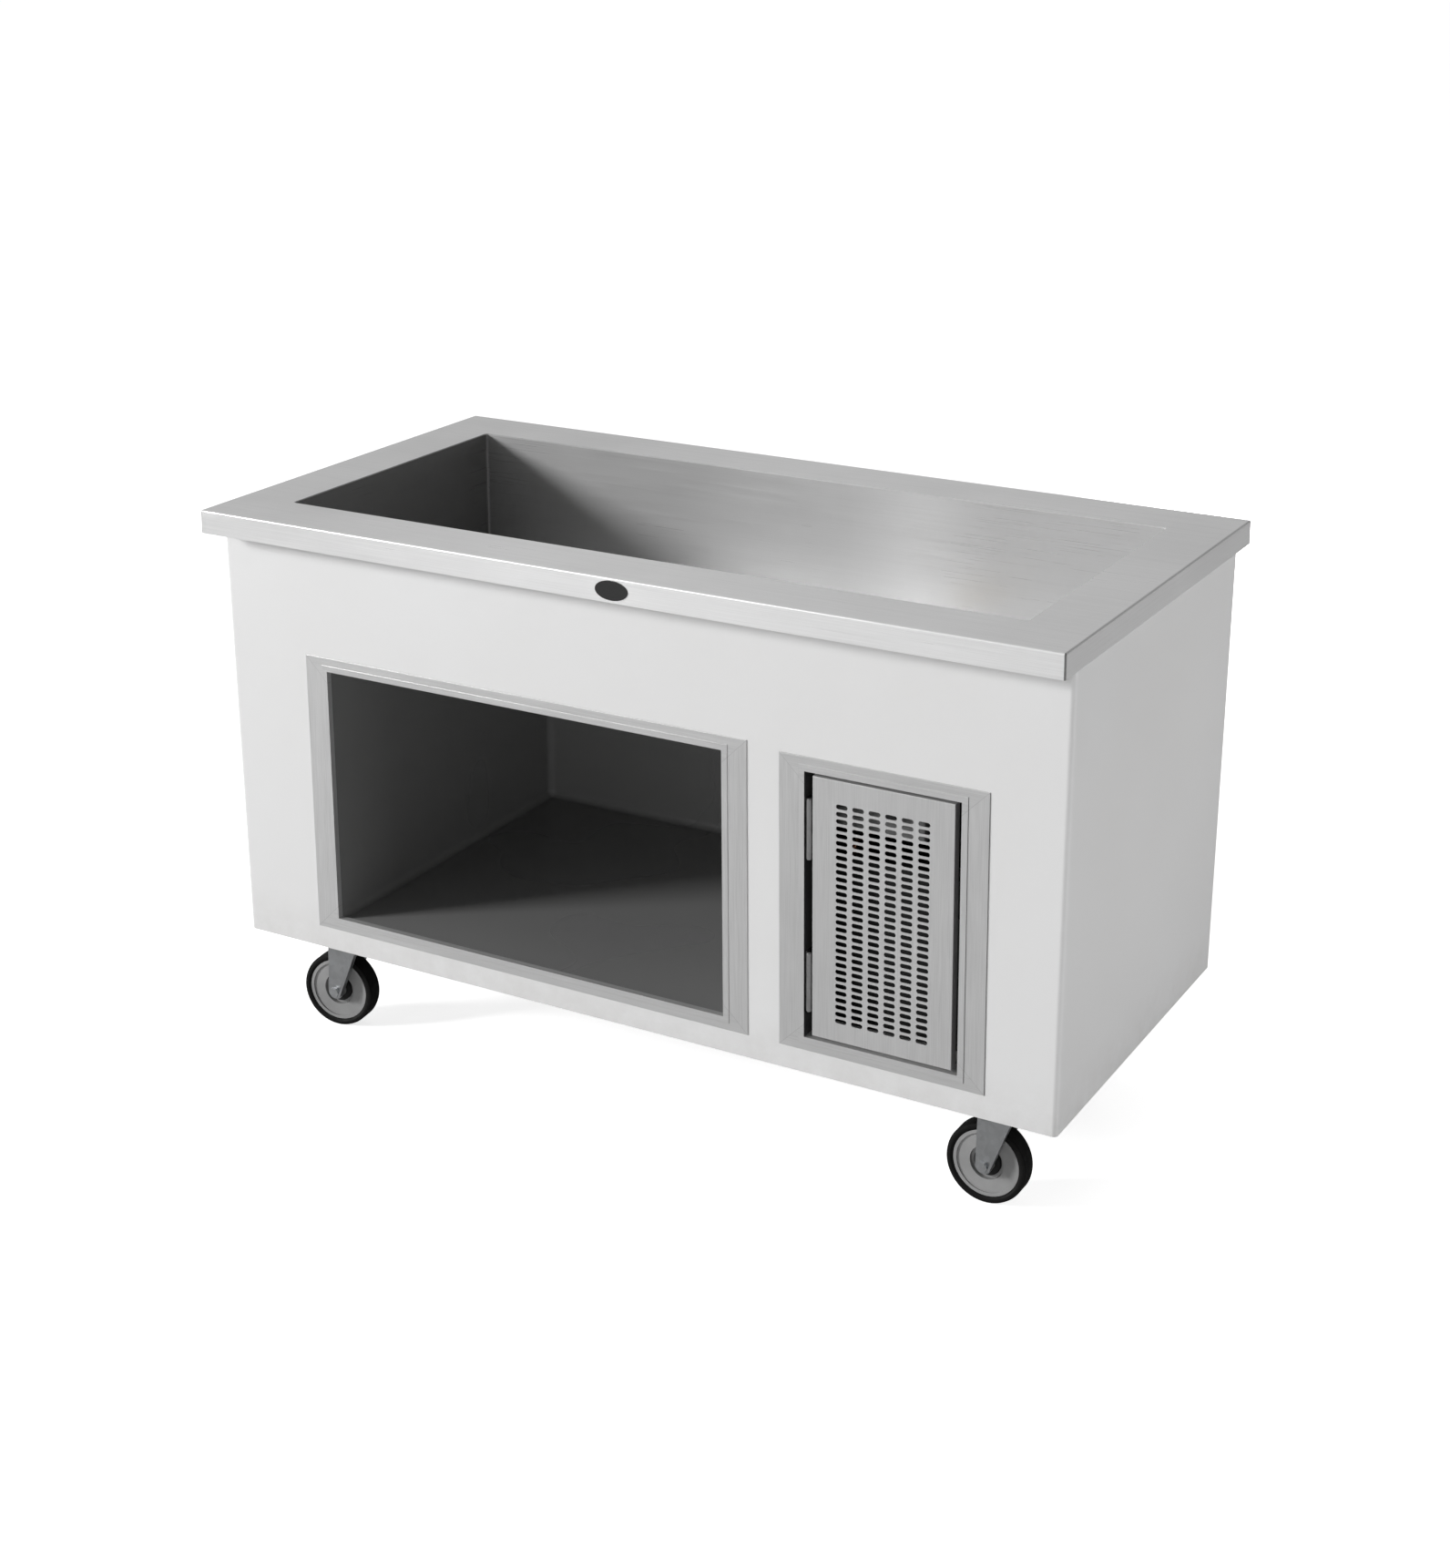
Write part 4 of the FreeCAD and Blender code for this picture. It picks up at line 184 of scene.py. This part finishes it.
# painted shade in the gap beside the louvre door, on the trim's walls that look along X
GAP_PAINTED_SHADE = 0.12


def grain_scale(along, across, axis):
    """What coordinates are multiplied by for grain that runs along an axis."""
    scale = [across, across, across]
    scale[axis] = along
    return tuple(scale)


def along_axis(tree, axis, along, across):
    return stretched(tree, grain_scale(along, across, axis))


def grain_on_faces(axis, other_faces=None, other_axis=None):
    """Grain along one axis; where other faces are named by their axis, they have their own."""
    def grain(tree, along, across):
        vector = along_axis(tree, axis, along, across)
        if other_faces is None:
            return vector
        other = along_axis(tree, other_axis, along, across)
        return mixed_vector(tree, faces_along(tree, other_faces), vector, other)
    return grain


def past_mitre(tree, node):
    """Above 0 on the upright sides of a frame that stands in the XZ plane, below 0 on the others."""
    low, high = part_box(node)
    where = place(tree)
    reach = []
    for axis in (0, 2):
        middle = (low[axis] + high[axis]) / 2
        half = (high[axis] - low[axis]) / 2
        away = maths(tree, "ABSOLUTE", maths(tree, "SUBTRACT", axis_of(tree, where, axis), middle))
        reach.append(maths(tree, "SUBTRACT", away, half))
    return maths(tree, "SUBTRACT", reach[0], reach[1])


def grain_round_frame(node):
    """Grain that runs along each of a frame's four sides and meets at its mitres."""
    def grain(tree, along, across):
        upright = maths(tree, "GREATER_THAN", past_mitre(tree, node), 0.0)
        level = along_axis(tree, 0, along, across)
        standing = along_axis(tree, 2, along, across)
        return mixed_vector(tree, upright, level, standing)
    return grain


def well_painted_light(tree):
    """Painted light on the walls: painted shade at the left and on the end walls, with one soft painted
    highlight band that stands upright.
    """
    along = axis_of(tree, place(tree), 0)
    away = maths(tree, "ABSOLUTE", maths(tree, "SUBTRACT", along, PAINTED_HIGHLIGHT_X))
    # painted highlight: a soft bright band that stands upright
    painted_band = soft_ramp(tree, away, PAINTED_HIGHLIGHT_GAIN, 1.0, 0.0, PAINTED_HIGHLIGHT_HALF)
    # painted shade on the end walls, which look along X
    painted_end_shade = mixed(tree, faces_along(tree, 0), colour(1.0), colour(WELL_END_PAINTED_SHADE))
    # painted shade at the left that fades out towards the right
    painted_left_shade = soft_ramp(tree, along, WELL_LEFT_PAINTED_SHADE, 1.0, WELL_SHADE_FADE_FROM, WELL_SHADE_FADE_TO)
    return mixed(tree, 1.0, painted_end_shade, maths(tree, "MULTIPLY", painted_band, painted_left_shade), "MULTIPLY")


def gap_shade(tree):
    """Painted shade on the louvre trim's walls that look along X, inside the gap beside the door."""
    return mixed(tree, faces_along(tree, 0), colour(1.0), colour(GAP_PAINTED_SHADE))


def counter_painted_light_and_weld(tree):
    """The top's tone: painted shade at the left that lifts to painted light further right, with a dark weld
    down each corner of its turned-down edge.
    """
    low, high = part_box("counter_top")
    where = place(tree)
    inside = []
    for axis in (0, 1):
        reach = maths(tree, "ABSOLUTE", axis_of(tree, where, axis))
        inside.append(maths(tree, "GREATER_THAN", reach, high[axis] - CORNER_WELD))
    weld = maths(tree, "MULTIPLY", inside[0], inside[1])
    along = axis_of(tree, where, 0)
    # painted shade at the left end that lifts to painted light from a place along X on
    level = soft_ramp(tree, along, COUNTER_LEFT_PAINTED_SHADE, COUNTER_PAINTED_LIGHT, low[0], COUNTER_SHADE_FADE_TO)
    return mixed(tree, weld, level, colour(WELD_TONE))


def mitre_lines(tree, node, tone, level):
    """A fine dark line over a tone at each of a node's four mitres."""
    near = maths(tree, "ABSOLUTE", past_mitre(tree, node))
    line = maths(tree, "LESS_THAN", near, MITRE_WIDTH / 2)
    return mixed(tree, maths(tree, "MULTIPLY", line, MITRE_DEPTH), tone, colour(level * MITRE_TONE))


def brushed_steel(name, level, roughness, grain, contrast=0.1, metallic=1.0, mitred=None, painted_light=None):
    """Brushed stainless steel; mitred names the node whose four mitres show as fine lines, and the tone of
    painted light and shade that the last argument makes is multiplied into the steel's own."""
    material, tree, shader = start_material(name, colour(level), metallic, roughness)
    fine = noise(tree, grain(tree, GRAIN_ALONG, GRAIN_ACROSS), 1.0, STEEL_DETAIL)
    broad = noise(tree, grain(tree, STREAK_ALONG, STREAK_ACROSS), 1.0, STEEL_DETAIL)
    clouds = noise(tree, place(tree), CLOUD_SCALE, STEEL_DETAIL)
    dark = colour(level * (1 - contrast))
    light = colour(level * (1 + contrast))
    tone = mixed(tree, spread(tree, fine, 0.0, 1.0), dark, light)
    tone = mixed(tree, spread(tree, broad, 0.0, STREAK_SHARE), tone, light)
    tone = mixed(tree, spread(tree, clouds, 0.0, CLOUD_SHARE), tone, colour(level * (1 - 2 * contrast)))
    if mitred:
        tone = mitre_lines(tree, mitred, tone, level)
    # painted light and shade multiplied into the steel's tone
    if painted_light:
        tone = mixed(tree, 1.0, tone, painted_light(tree), "MULTIPLY")
    connect(tree, tone, shader.inputs["Base Color"])
    rough = spread(tree, fine, roughness - GRAIN_ROUGHNESS, roughness + GRAIN_ROUGHNESS)
    rough = maths(tree, "ADD", rough, spread(tree, clouds, -CLOUD_ROUGHNESS, CLOUD_ROUGHNESS))
    connect(tree, rough, shader.inputs["Roughness"])
    connect(tree, bump(tree, fine, GRAIN_DEPTH), shader.inputs["Normal"])
    return material


# ---------------------------------------------------------------- moulded and painted surfaces
# the shell: its slight change of tone, the raw inside, and the soiling that fades out above its lower edge
SHELL_LEVEL = 0.80
SHELL_DARK = colour(0.79, 0.004)
SHELL_LIGHT = colour(0.815, -0.002)
SHELL_RAW = colour(0.06)
SOIL_TONE = colour(0.62, 0.02)
SOIL_HEIGHT = 0.083
SOIL_SHARE = 0.5
RIPPLE_DEPTH = 0.0008
PEEL_DEPTH = 0.00003
SHELL_SMOOTHEST = 0.30
SHELL_ROUGHEST = 0.40
SHELL_COAT = 0.25
SHELL_COAT_ROUGHNESS = 0.15
# the storage liner, with the tone of the dust on its floor
STORAGE_LEVEL = 0.22
STORAGE_DARK = colour(0.21)
STORAGE_LIGHT = colour(0.23)
STORAGE_DUST = colour(0.24)
STORAGE_SMOOTHEST = 0.25
STORAGE_ROUGHEST = 0.31
STORAGE_GRAIN_DEPTH = 0.00002
# other finishes: the depth of their grain, and how far a plain one's roughness varies
GRAIN_BUMP = 0.00004
ROUGHNESS_SHARE = 0.15
# plating: how dark and how strong its patches are, and how its roughness varies
PATCH_TONE = 0.8
PATCH_SHARE = 0.6
PATCH_SMOOTHER = 0.08
PATCH_ROUGHER = 0.1
# the tyres, with their dust
TYRE_LEVEL = 0.005
TYRE_CLEAN = colour(0.004)
TYRE_DUSTY = colour(0.010, 0.05)
TYRE_DUST_SHARE = 0.5
TYRE_SMOOTHEST = 0.6
TYRE_ROUGHEST = 0.8
TYRE_GRAIN_DEPTH = 0.00008
TYRE_SPECULAR = 0.2


def inward_faces(tree):
    """1 on faces that look towards the object's upright middle line, 0 on the others."""
    level = stretched(tree, (1.0, 1.0, 0.0))
    normal = add(tree, "ShaderNodeNewGeometry").outputs["True Normal"]
    outward = vector_maths(tree, "DOT_PRODUCT", level, normal, "Value")
    return maths(tree, "LESS_THAN", outward, 0.0)


def soiling(tree, where):
    """Patchy dirt that fades out above the shell's lower edge."""
    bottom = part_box("front_panel")[0][2]
    low = spread(tree, axis_of(tree, where, 2), 1.0, 0.0, bottom, bottom + SOIL_HEIGHT)
    patches = noise(tree, where, scale=26.0, detail=6.0, roughness=0.7)
    return maths(tree, "MULTIPLY", low, spread(tree, patches, 0.0, SOIL_SHARE))


def body_shell():
    """Pale moulded shell: faint ripple, fine orange peel, slight soiling near its lower edge, and a
    raw dark laminate inside."""
    material, tree, shader = start_material("body_shell", colour(SHELL_LEVEL), metallic=0.0, roughness=0.34)
    where = place(tree)
    clouds = noise(tree, where, scale=2.2, detail=4.0)
    tone = mixed(tree, spread(tree, clouds, 0.0, 1.0), SHELL_DARK, SHELL_LIGHT)
    tone = mixed(tree, soiling(tree, where), tone, SOIL_TONE)
    tone = mixed(tree, inward_faces(tree), tone, SHELL_RAW)
    connect(tree, tone, shader.inputs["Base Color"])
    handled = noise(tree, where, scale=9.0, detail=3.0)
    connect(tree, spread(tree, handled, SHELL_SMOOTHEST, SHELL_ROUGHEST), shader.inputs["Roughness"])
    peel = bump(tree, noise(tree, where, scale=420.0), PEEL_DEPTH)
    connect(tree, bump(tree, clouds, RIPPLE_DEPTH, peel), shader.inputs["Normal"])
    shader.inputs["Coat Weight"].default_value = SHELL_COAT
    shader.inputs["Coat Roughness"].default_value = SHELL_COAT_ROUGHNESS
    return material


def moulded(name, level, roughness, grain=300.0, warmth=0.0, variation=0.15, coat=0.0):
    """Plain plastic or enamel with fine grain and slight variation in tone."""
    material, tree, shader = start_material(name, colour(level, warmth), metallic=0.0, roughness=roughness)
    where = place(tree)
    clouds = noise(tree, where, scale=14.0, detail=4.0)
    dark = colour(level * (1 - variation), warmth)
    light = colour(level * (1 + variation), warmth)
    connect(tree, mixed(tree, spread(tree, clouds, 0.0, 1.0), dark, light), shader.inputs["Base Color"])
    smoother = roughness * (1 - ROUGHNESS_SHARE)
    rougher = min(1.0, roughness * (1 + ROUGHNESS_SHARE))
    connect(tree, spread(tree, clouds, smoother, rougher), shader.inputs["Roughness"])
    connect(tree, bump(tree, noise(tree, where, grain), GRAIN_BUMP), shader.inputs["Normal"])
    shader.inputs["Coat Weight"].default_value = coat
    return material


def storage_moulding():
    """Dark glossy moulding with fine grain and a little dust on its floor."""
    base = colour(STORAGE_LEVEL)
    material, tree, shader = start_material("storage_moulding", base, metallic=0.0, roughness=0.28)
    where = place(tree)
    clouds = noise(tree, where, scale=3.0, detail=1.0)
    tone = mixed(tree, clouds, STORAGE_DARK, STORAGE_LIGHT)
    normal = add(tree, "ShaderNodeNewGeometry").outputs["Normal"]
    upward = spread(tree, axis_of(tree, normal, 2), 0.0, 1.0, from_low=0.5, from_high=1.0)
    dust = maths(tree, "MULTIPLY", upward, clouds)
    connect(tree, mixed(tree, dust, tone, STORAGE_DUST), shader.inputs["Base Color"])
    rough = spread(tree, clouds, STORAGE_SMOOTHEST, STORAGE_ROUGHEST, from_low=0.0, from_high=1.0)
    connect(tree, rough, shader.inputs["Roughness"])
    grain = noise(tree, where, scale=500.0)
    connect(tree, bump(tree, grain, STORAGE_GRAIN_DEPTH), shader.inputs["Normal"])
    return material


def plated(name, level, roughness, warmth=0.0, spangle=60.0, tint=None):
    """Zinc plate, galvanised sheet, copper or brass: metal with patches of slightly different tone."""
    base = tint or colour(level, warmth)
    material, tree, shader = start_material(name, base, metallic=1.0, roughness=roughness)
    where = place(tree)
    cells = add(tree, "ShaderNodeTexVoronoi", {"Vector": where, "Scale": spangle}).outputs["Color"]
    darker = tuple(channel * PATCH_TONE for channel in base[:3]) + (1.0,)
    patches = spread(tree, axis_of(tree, cells, 0), 0.0, PATCH_SHARE, from_low=0.0, from_high=1.0)
    connect(tree, mixed(tree, patches, base, darker), shader.inputs["Base Color"])
    handled = noise(tree, where, scale=40.0, detail=3.0)
    rough = spread(tree, handled, roughness - PATCH_SMOOTHER, roughness + PATCH_ROUGHER)
    connect(tree, rough, shader.inputs["Roughness"])
    connect(tree, bump(tree, noise(tree, where, scale=250.0), GRAIN_BUMP), shader.inputs["Normal"])
    return material


def tyre_rubber():
    """Near-black rubber with a trace of dust."""
    material, tree, shader = start_material("tyre_rubber", colour(TYRE_LEVEL), metallic=0.0, roughness=0.7)
    where = place(tree)
    dust = noise(tree, where, scale=45.0, detail=5.0, roughness=0.65)
    dust = spread(tree, dust, 0.0, TYRE_DUST_SHARE)
    connect(tree, mixed(tree, dust, TYRE_CLEAN, TYRE_DUSTY), shader.inputs["Base Color"])
    worn = noise(tree, where, scale=90.0, detail=3.0)
    connect(tree, spread(tree, worn, TYRE_SMOOTHEST, TYRE_ROUGHEST), shader.inputs["Roughness"])
    grain = noise(tree, where, scale=700.0)
    connect(tree, bump(tree, grain, TYRE_GRAIN_DEPTH), shader.inputs["Normal"])
    shader.inputs["Specular IOR Level"].default_value = TYRE_SPECULAR
    return material


# ---------------------------------------------------------------- materials onto the CAD nodes
def dress(nodes, material):
    """Gives each named node of the CAD the one material."""
    for name in nodes:
        node = frame["nodes"][name]
        node.data.materials.clear()
        node.data.materials.append(material)


def caster_pieces(piece):
    return [name for name in frame["nodes"] if name.startswith("caster_" + piece)]


# the two tinted metals; every other finish gives its level of grey, then its roughness
COPPER = (0.72, 0.36, 0.22, 1.0)
BRASS = (0.68, 0.50, 0.22, 1.0)


def dress_counter_and_well():
    """The tops and the walls that look along X are brushed along Y, the others along X."""
    round_well = grain_on_faces(0, 0, 1)
    # the counter and the well carry painted light and shade in their tone
    counter_steel = brushed_steel(
        "counter_steel", 0.90, 0.36, round_well, contrast=0.07, metallic=0.55, painted_light=counter_painted_light_and_weld
    )
    dress(["counter_top"], counter_steel)
    well_steel = brushed_steel(
        "well_steel", 0.80, 0.34, round_well, contrast=0.03, metallic=0.45, painted_light=well_painted_light
    )
    dress(["well_liner"], well_steel)
    dress(["drain_strainer"], brushed_steel("strainer_steel", 0.6, 0.25, round_well))


def dress_openings():
    """The trims, the slotted door with its hinges, and the storage liner."""
    # the louvre trim carries painted shade in the gap beside the door
    for trim, shade in (("storage_trim", None), ("louvre_trim", gap_shade)):
        grain = grain_round_frame(trim)
        finish = brushed_steel(trim + "_steel", 0.66, 0.38, grain, metallic=0.5, mitred=trim, painted_light=shade)
        dress([trim], finish)
    dress(["louvre_door"], brushed_steel("door_steel", 0.66, 0.38, grain_on_faces(2), metallic=0.5))
    dress(["hinge_frame_leaves", "hinge_door_leaves", "hinge_pins"], plated("hinge_steel", 0.45, 0.35))
    dress(["storage_liner"], storage_moulding())


def dress_body():
    """The shell, the badge, the frame, the sheet metal and the foam."""
    dress(["front_panel", "rear_panel", "left_end_panel", "right_end_panel"], body_shell())
    dress(["base_frame"], moulded("frame_paint", 0.05, 0.45, coat=0.2))
    dress(["bottom_deck", "well_casing", "unit_base", "fan_shroud"], plated("galvanised", 0.5, 0.4))
    dress(["well_insulation"], moulded("foam", 0.6, 0.9, warmth=0.15))
    dress(["badge_plate"], moulded("badge_enamel", 0.008, 0.25, coat=0.5))


def dress_unit():
    """The pipes and the drain, the condensing unit and the controls."""
    dress(["evaporator_coil", "refrigerant_lines", "drain_pipes"], plated("copper", 0.5, 0.3, tint=COPPER))
    dress(["drain_fitting", "drain_valve"], plated("brass", 0.5, 0.3, tint=BRASS))
    dress(["compressor", "liquid_receiver", "fan_motor"], moulded("black_paint", 0.02, 0.35, coat=0.3))
    dress(["compressor_mounts"], moulded("mount_rubber", 0.02, 0.8))
    dress(["condenser_coil"], moulded("coil_black", 0.015, 0.6))
    dress(["fan_blade"], plated("aluminium", 0.55, 0.4))
    dress(["control_box"], moulded("control_paint", 0.25, 0.5))
    black_plastic = moulded("black_plastic", 0.02, 0.5)
    dress(["power_switch", "thermostat_knob", "cord_gland", "door_magnet"], black_plastic)


def dress_casters():
    """Casters and their bolts; the drain's lever is plated like the axles."""
    zinc = plated("zinc", 0.55, 0.35, warmth=-0.02, spangle=200.0)
    dress(["drain_lever", "caster_bolts"] + caster_pieces("axle"), zinc)
    caster_zinc = plated("caster_zinc", 0.48, 0.42, warmth=-0.02, spangle=120.0)
    dress(caster_pieces("plate") + caster_pieces("fork"), caster_zinc)
    dress(caster_pieces("wheel"), moulded("wheel_grey", 0.32, 0.5))
    dress(caster_pieces("tyre"), tyre_rubber())


dress_body()
dress_counter_and_well()
dress_openings()
dress_unit()
dress_casters()

# ---------------------------------------------------------------- dust seals at the wheels' hubs
# half of the seal's section as (distance from the axle, distance from the wheel's middle), in metres
SEAL_INNER = 0.0128
SEAL_OUTER = 0.0215
SEAL_ROOT = 0.0042
SEAL_LIP = 0.0100
SEAL_ROUNDING = 0.0015
SEAL_SEGMENTS = 48


def seal_section():
    """Corners of a flat ring that is bevelled at its outer lip."""
    return [
        (SEAL_INNER, SEAL_ROOT),
        (SEAL_OUTER, SEAL_ROOT),
        (SEAL_OUTER, SEAL_LIP - SEAL_ROUNDING),
        (SEAL_OUTER - SEAL_ROUNDING, SEAL_LIP),
        (SEAL_INNER, SEAL_LIP),
    ]


def ring_mesh(name, centre, axis, section):
    """A section swept once round an axle that lies level."""
    up = Vector((0.0, 0.0, 1.0))
    across = axis.cross(up)
    mesh = bmesh.new()
    rings = []
    for step in range(SEAL_SEGMENTS):
        angle = 2 * math.pi * step / SEAL_SEGMENTS
        spoke = math.cos(angle) * across + math.sin(angle) * up
        rings.append([mesh.verts.new(centre + radius * spoke + offset * axis) for radius, offset in section])
    for step, ring in enumerate(rings):
        following = rings[(step + 1) % SEAL_SEGMENTS]
        for corner in range(len(section)):
            after = (corner + 1) % len(section)
            mesh.faces.new((ring[corner], ring[after], following[after], following[corner]))
    bmesh.ops.recalc_face_normals(mesh, faces=mesh.faces)
    data = bpy.data.meshes.new(name)
    mesh.to_mesh(data)
    mesh.free()
    return data


def make_hub_seals():
    """A seal on each side of each wheel, which turns with it."""
    rubber = moulded("seal_rubber", 0.006, 0.7)
    for joint in frame["joints"]:
        if not joint["name"].startswith("wheel_spin_"):
            continue
        centre = Vector(joint["pos_m"])
        for side in (-1, 1):
            axis = side * Vector(joint["axis"])
            name = joint["child"].replace("wheel_", "hub_seal_") + ("_a" if side < 0 else "_b")
            seal = bpy.data.objects.new(name, ring_mesh(name, centre, axis, seal_section()))
            bpy.context.scene.collection.objects.link(seal)
            seal.data.materials.append(rubber)
            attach(seal, joint["child"])


make_hub_seals()

# ---------------------------------------------------------------- floor, light and camera
# the surround's brightness to the left and to the right of the object, the X of a direction from which
# on it is dim, and how much more reflections see
SURROUND_LEFT = 0.66
SURROUND_RIGHT = 0.03
DIM_FROM = 0.5
GLOSS_GAIN = 1.3
# a softbox low on the left in front, and a dim card on the right that stays below the counter
KEY_FROM = Vector((-1.0, -0.85, 0.46))
KEY_DISTANCE = 9.0
KEY_SIZE = (1.6, 1.6)
KEY_POWER = 580.0
CARD_PLACE = Vector((2.6, 0.2, 0.66))
CARD_SIZE = (2.2, 0.4)
CARD_POWER = 20.0
# a weak fill in front, also below the counter, that reaches into the storage compartment
FILL_PLACE = Vector((1.3, -3.4, 0.45))
FILL_SIZE = (1.0, 0.5)
FILL_POWER = 16.0
# another behind the object, for its rear
BACK_FILL_PLACE = Vector((-0.9, 3.6, 0.45))
BACK_FILL_SIZE = (1.4, 0.6)
BACK_FILL_POWER = 42.0
AIM = Vector((0.0, 0.0, 0.5))
# the camera: place in metres, turn in radians, lens and sensor in millimetres
CAMERA_PLACE = (1.942, -3.432, 1.992)
CAMERA_TURN = (1.3211, 0.0, 0.5138)
CAMERA_LENS = 59.5
CAMERA_SENSOR = 36.0
CAMERA_SHIFT_Y = -0.20
CAMERA_REACH = 500.0
# the floor, paler and glowing only where the camera sees it
FLOOR_HALF = 200.0
FLOOR_LEVEL = 0.58
FLOOR_SEEN_LEVEL = 1.0
FLOOR_GLOW = 0.75
FLOOR_ROUGHNESS = 0.9


def make_floor():
    """A white floor that still takes the object's shadow."""
    mesh = bpy.data.meshes.new("floor")
    half = FLOOR_HALF
    corners = [(-half, -half, 0), (half, -half, 0), (half, half, 0), (-half, half, 0)]
    mesh.from_pydata(corners, [], [(0, 1, 2, 3)])
    floor = bpy.data.objects.new("floor", mesh)
    bpy.context.scene.collection.objects.link(floor)
    base = colour(FLOOR_LEVEL)
    material, tree, shader = start_material("floor", base, metallic=0.0, roughness=FLOOR_ROUGHNESS)
    shader.inputs["Specular IOR Level"].default_value = 0.0
    seen = add(tree, "ShaderNodeLightPath").outputs["Is Camera Ray"]
    tone = mixed(tree, seen, base, colour(FLOOR_SEEN_LEVEL))
    connect(tree, tone, shader.inputs["Base Color"])
    shader.inputs["Emission Color"].default_value = colour(1.0)
    connect(tree, maths(tree, "MULTIPLY", seen, FLOOR_GLOW), shader.inputs["Emission Strength"])
    mesh.materials.append(material)


def make_world():
    """A surround that is light on the left and dim on the right, and white where the camera sees it."""
    world = bpy.data.worlds.new("surround")
    bpy.context.scene.world = world
    world.use_nodes = True
    tree = world.node_tree
    path = add(tree, "ShaderNodeLightPath")
    direction = add(tree, "ShaderNodeTexCoord").outputs["Generated"]
    level = spread(tree, axis_of(tree, direction, 0), SURROUND_LEFT, SURROUND_RIGHT, -1.0, DIM_FROM)
    gain = spread(tree, path.outputs["Is Glossy Ray"], 1.0, GLOSS_GAIN, 0.0, 1.0)
    seen = maths(tree, "MAXIMUM", path.outputs["Is Camera Ray"], path.outputs["Is Transmission Ray"])
    level = maths(tree, "MAXIMUM", maths(tree, "MULTIPLY", level, gain), seen)
    background = tree.nodes["Background"]
    background.inputs["Color"].default_value = colour(1.0)
    connect(tree, level, background.inputs["Strength"])


def make_panel_light(name, location, target, size, power, seen_in_gloss):
    """A rectangular lamp that faces its target."""
    light = bpy.data.lights.new(name, "AREA")
    light.shape = "RECTANGLE"
    light.size, light.size_y = size
    light.energy = power
    lamp = bpy.data.objects.new(name, light)
    lamp.location = location
    lamp.rotation_euler = (location - target).to_track_quat("Z", "Y").to_euler()
    lamp.visible_camera = False
    lamp.visible_glossy = seen_in_gloss
    bpy.context.scene.collection.objects.link(lamp)


def make_camera():
    """The photograph's view, turned down and shifted."""
    data = bpy.data.cameras.new("camera")
    data.lens = CAMERA_LENS
    data.sensor_width = CAMERA_SENSOR
    data.shift_y = CAMERA_SHIFT_Y
    data.clip_end = CAMERA_REACH
    camera = bpy.data.objects.new("camera", data)
    camera.location = CAMERA_PLACE
    camera.rotation_euler = CAMERA_TURN
    bpy.context.scene.collection.objects.link(camera)
    bpy.context.scene.camera = camera


def make_lamps():
    """The softbox shows in reflections; the card and the two fills don't, and face level."""
    make_panel_light("key", AIM + KEY_FROM.normalized() * KEY_DISTANCE, AIM, KEY_SIZE, KEY_POWER, True)
    card_aim = Vector((0.0, CARD_PLACE.y, CARD_PLACE.z))
    make_panel_light("card", CARD_PLACE, card_aim, CARD_SIZE, CARD_POWER, False)
    fill_aim = Vector((0.0, 0.0, FILL_PLACE.z))
    make_panel_light("fill", FILL_PLACE, fill_aim, FILL_SIZE, FILL_POWER, False)
    back_fill_aim = Vector((0.0, 0.0, BACK_FILL_PLACE.z))
    make_panel_light("back_fill", BACK_FILL_PLACE, back_fill_aim, BACK_FILL_SIZE, BACK_FILL_POWER, False)


make_floor()
make_world()
make_lamps()
make_camera()
bpy.context.scene.view_settings.view_transform = "Standard"
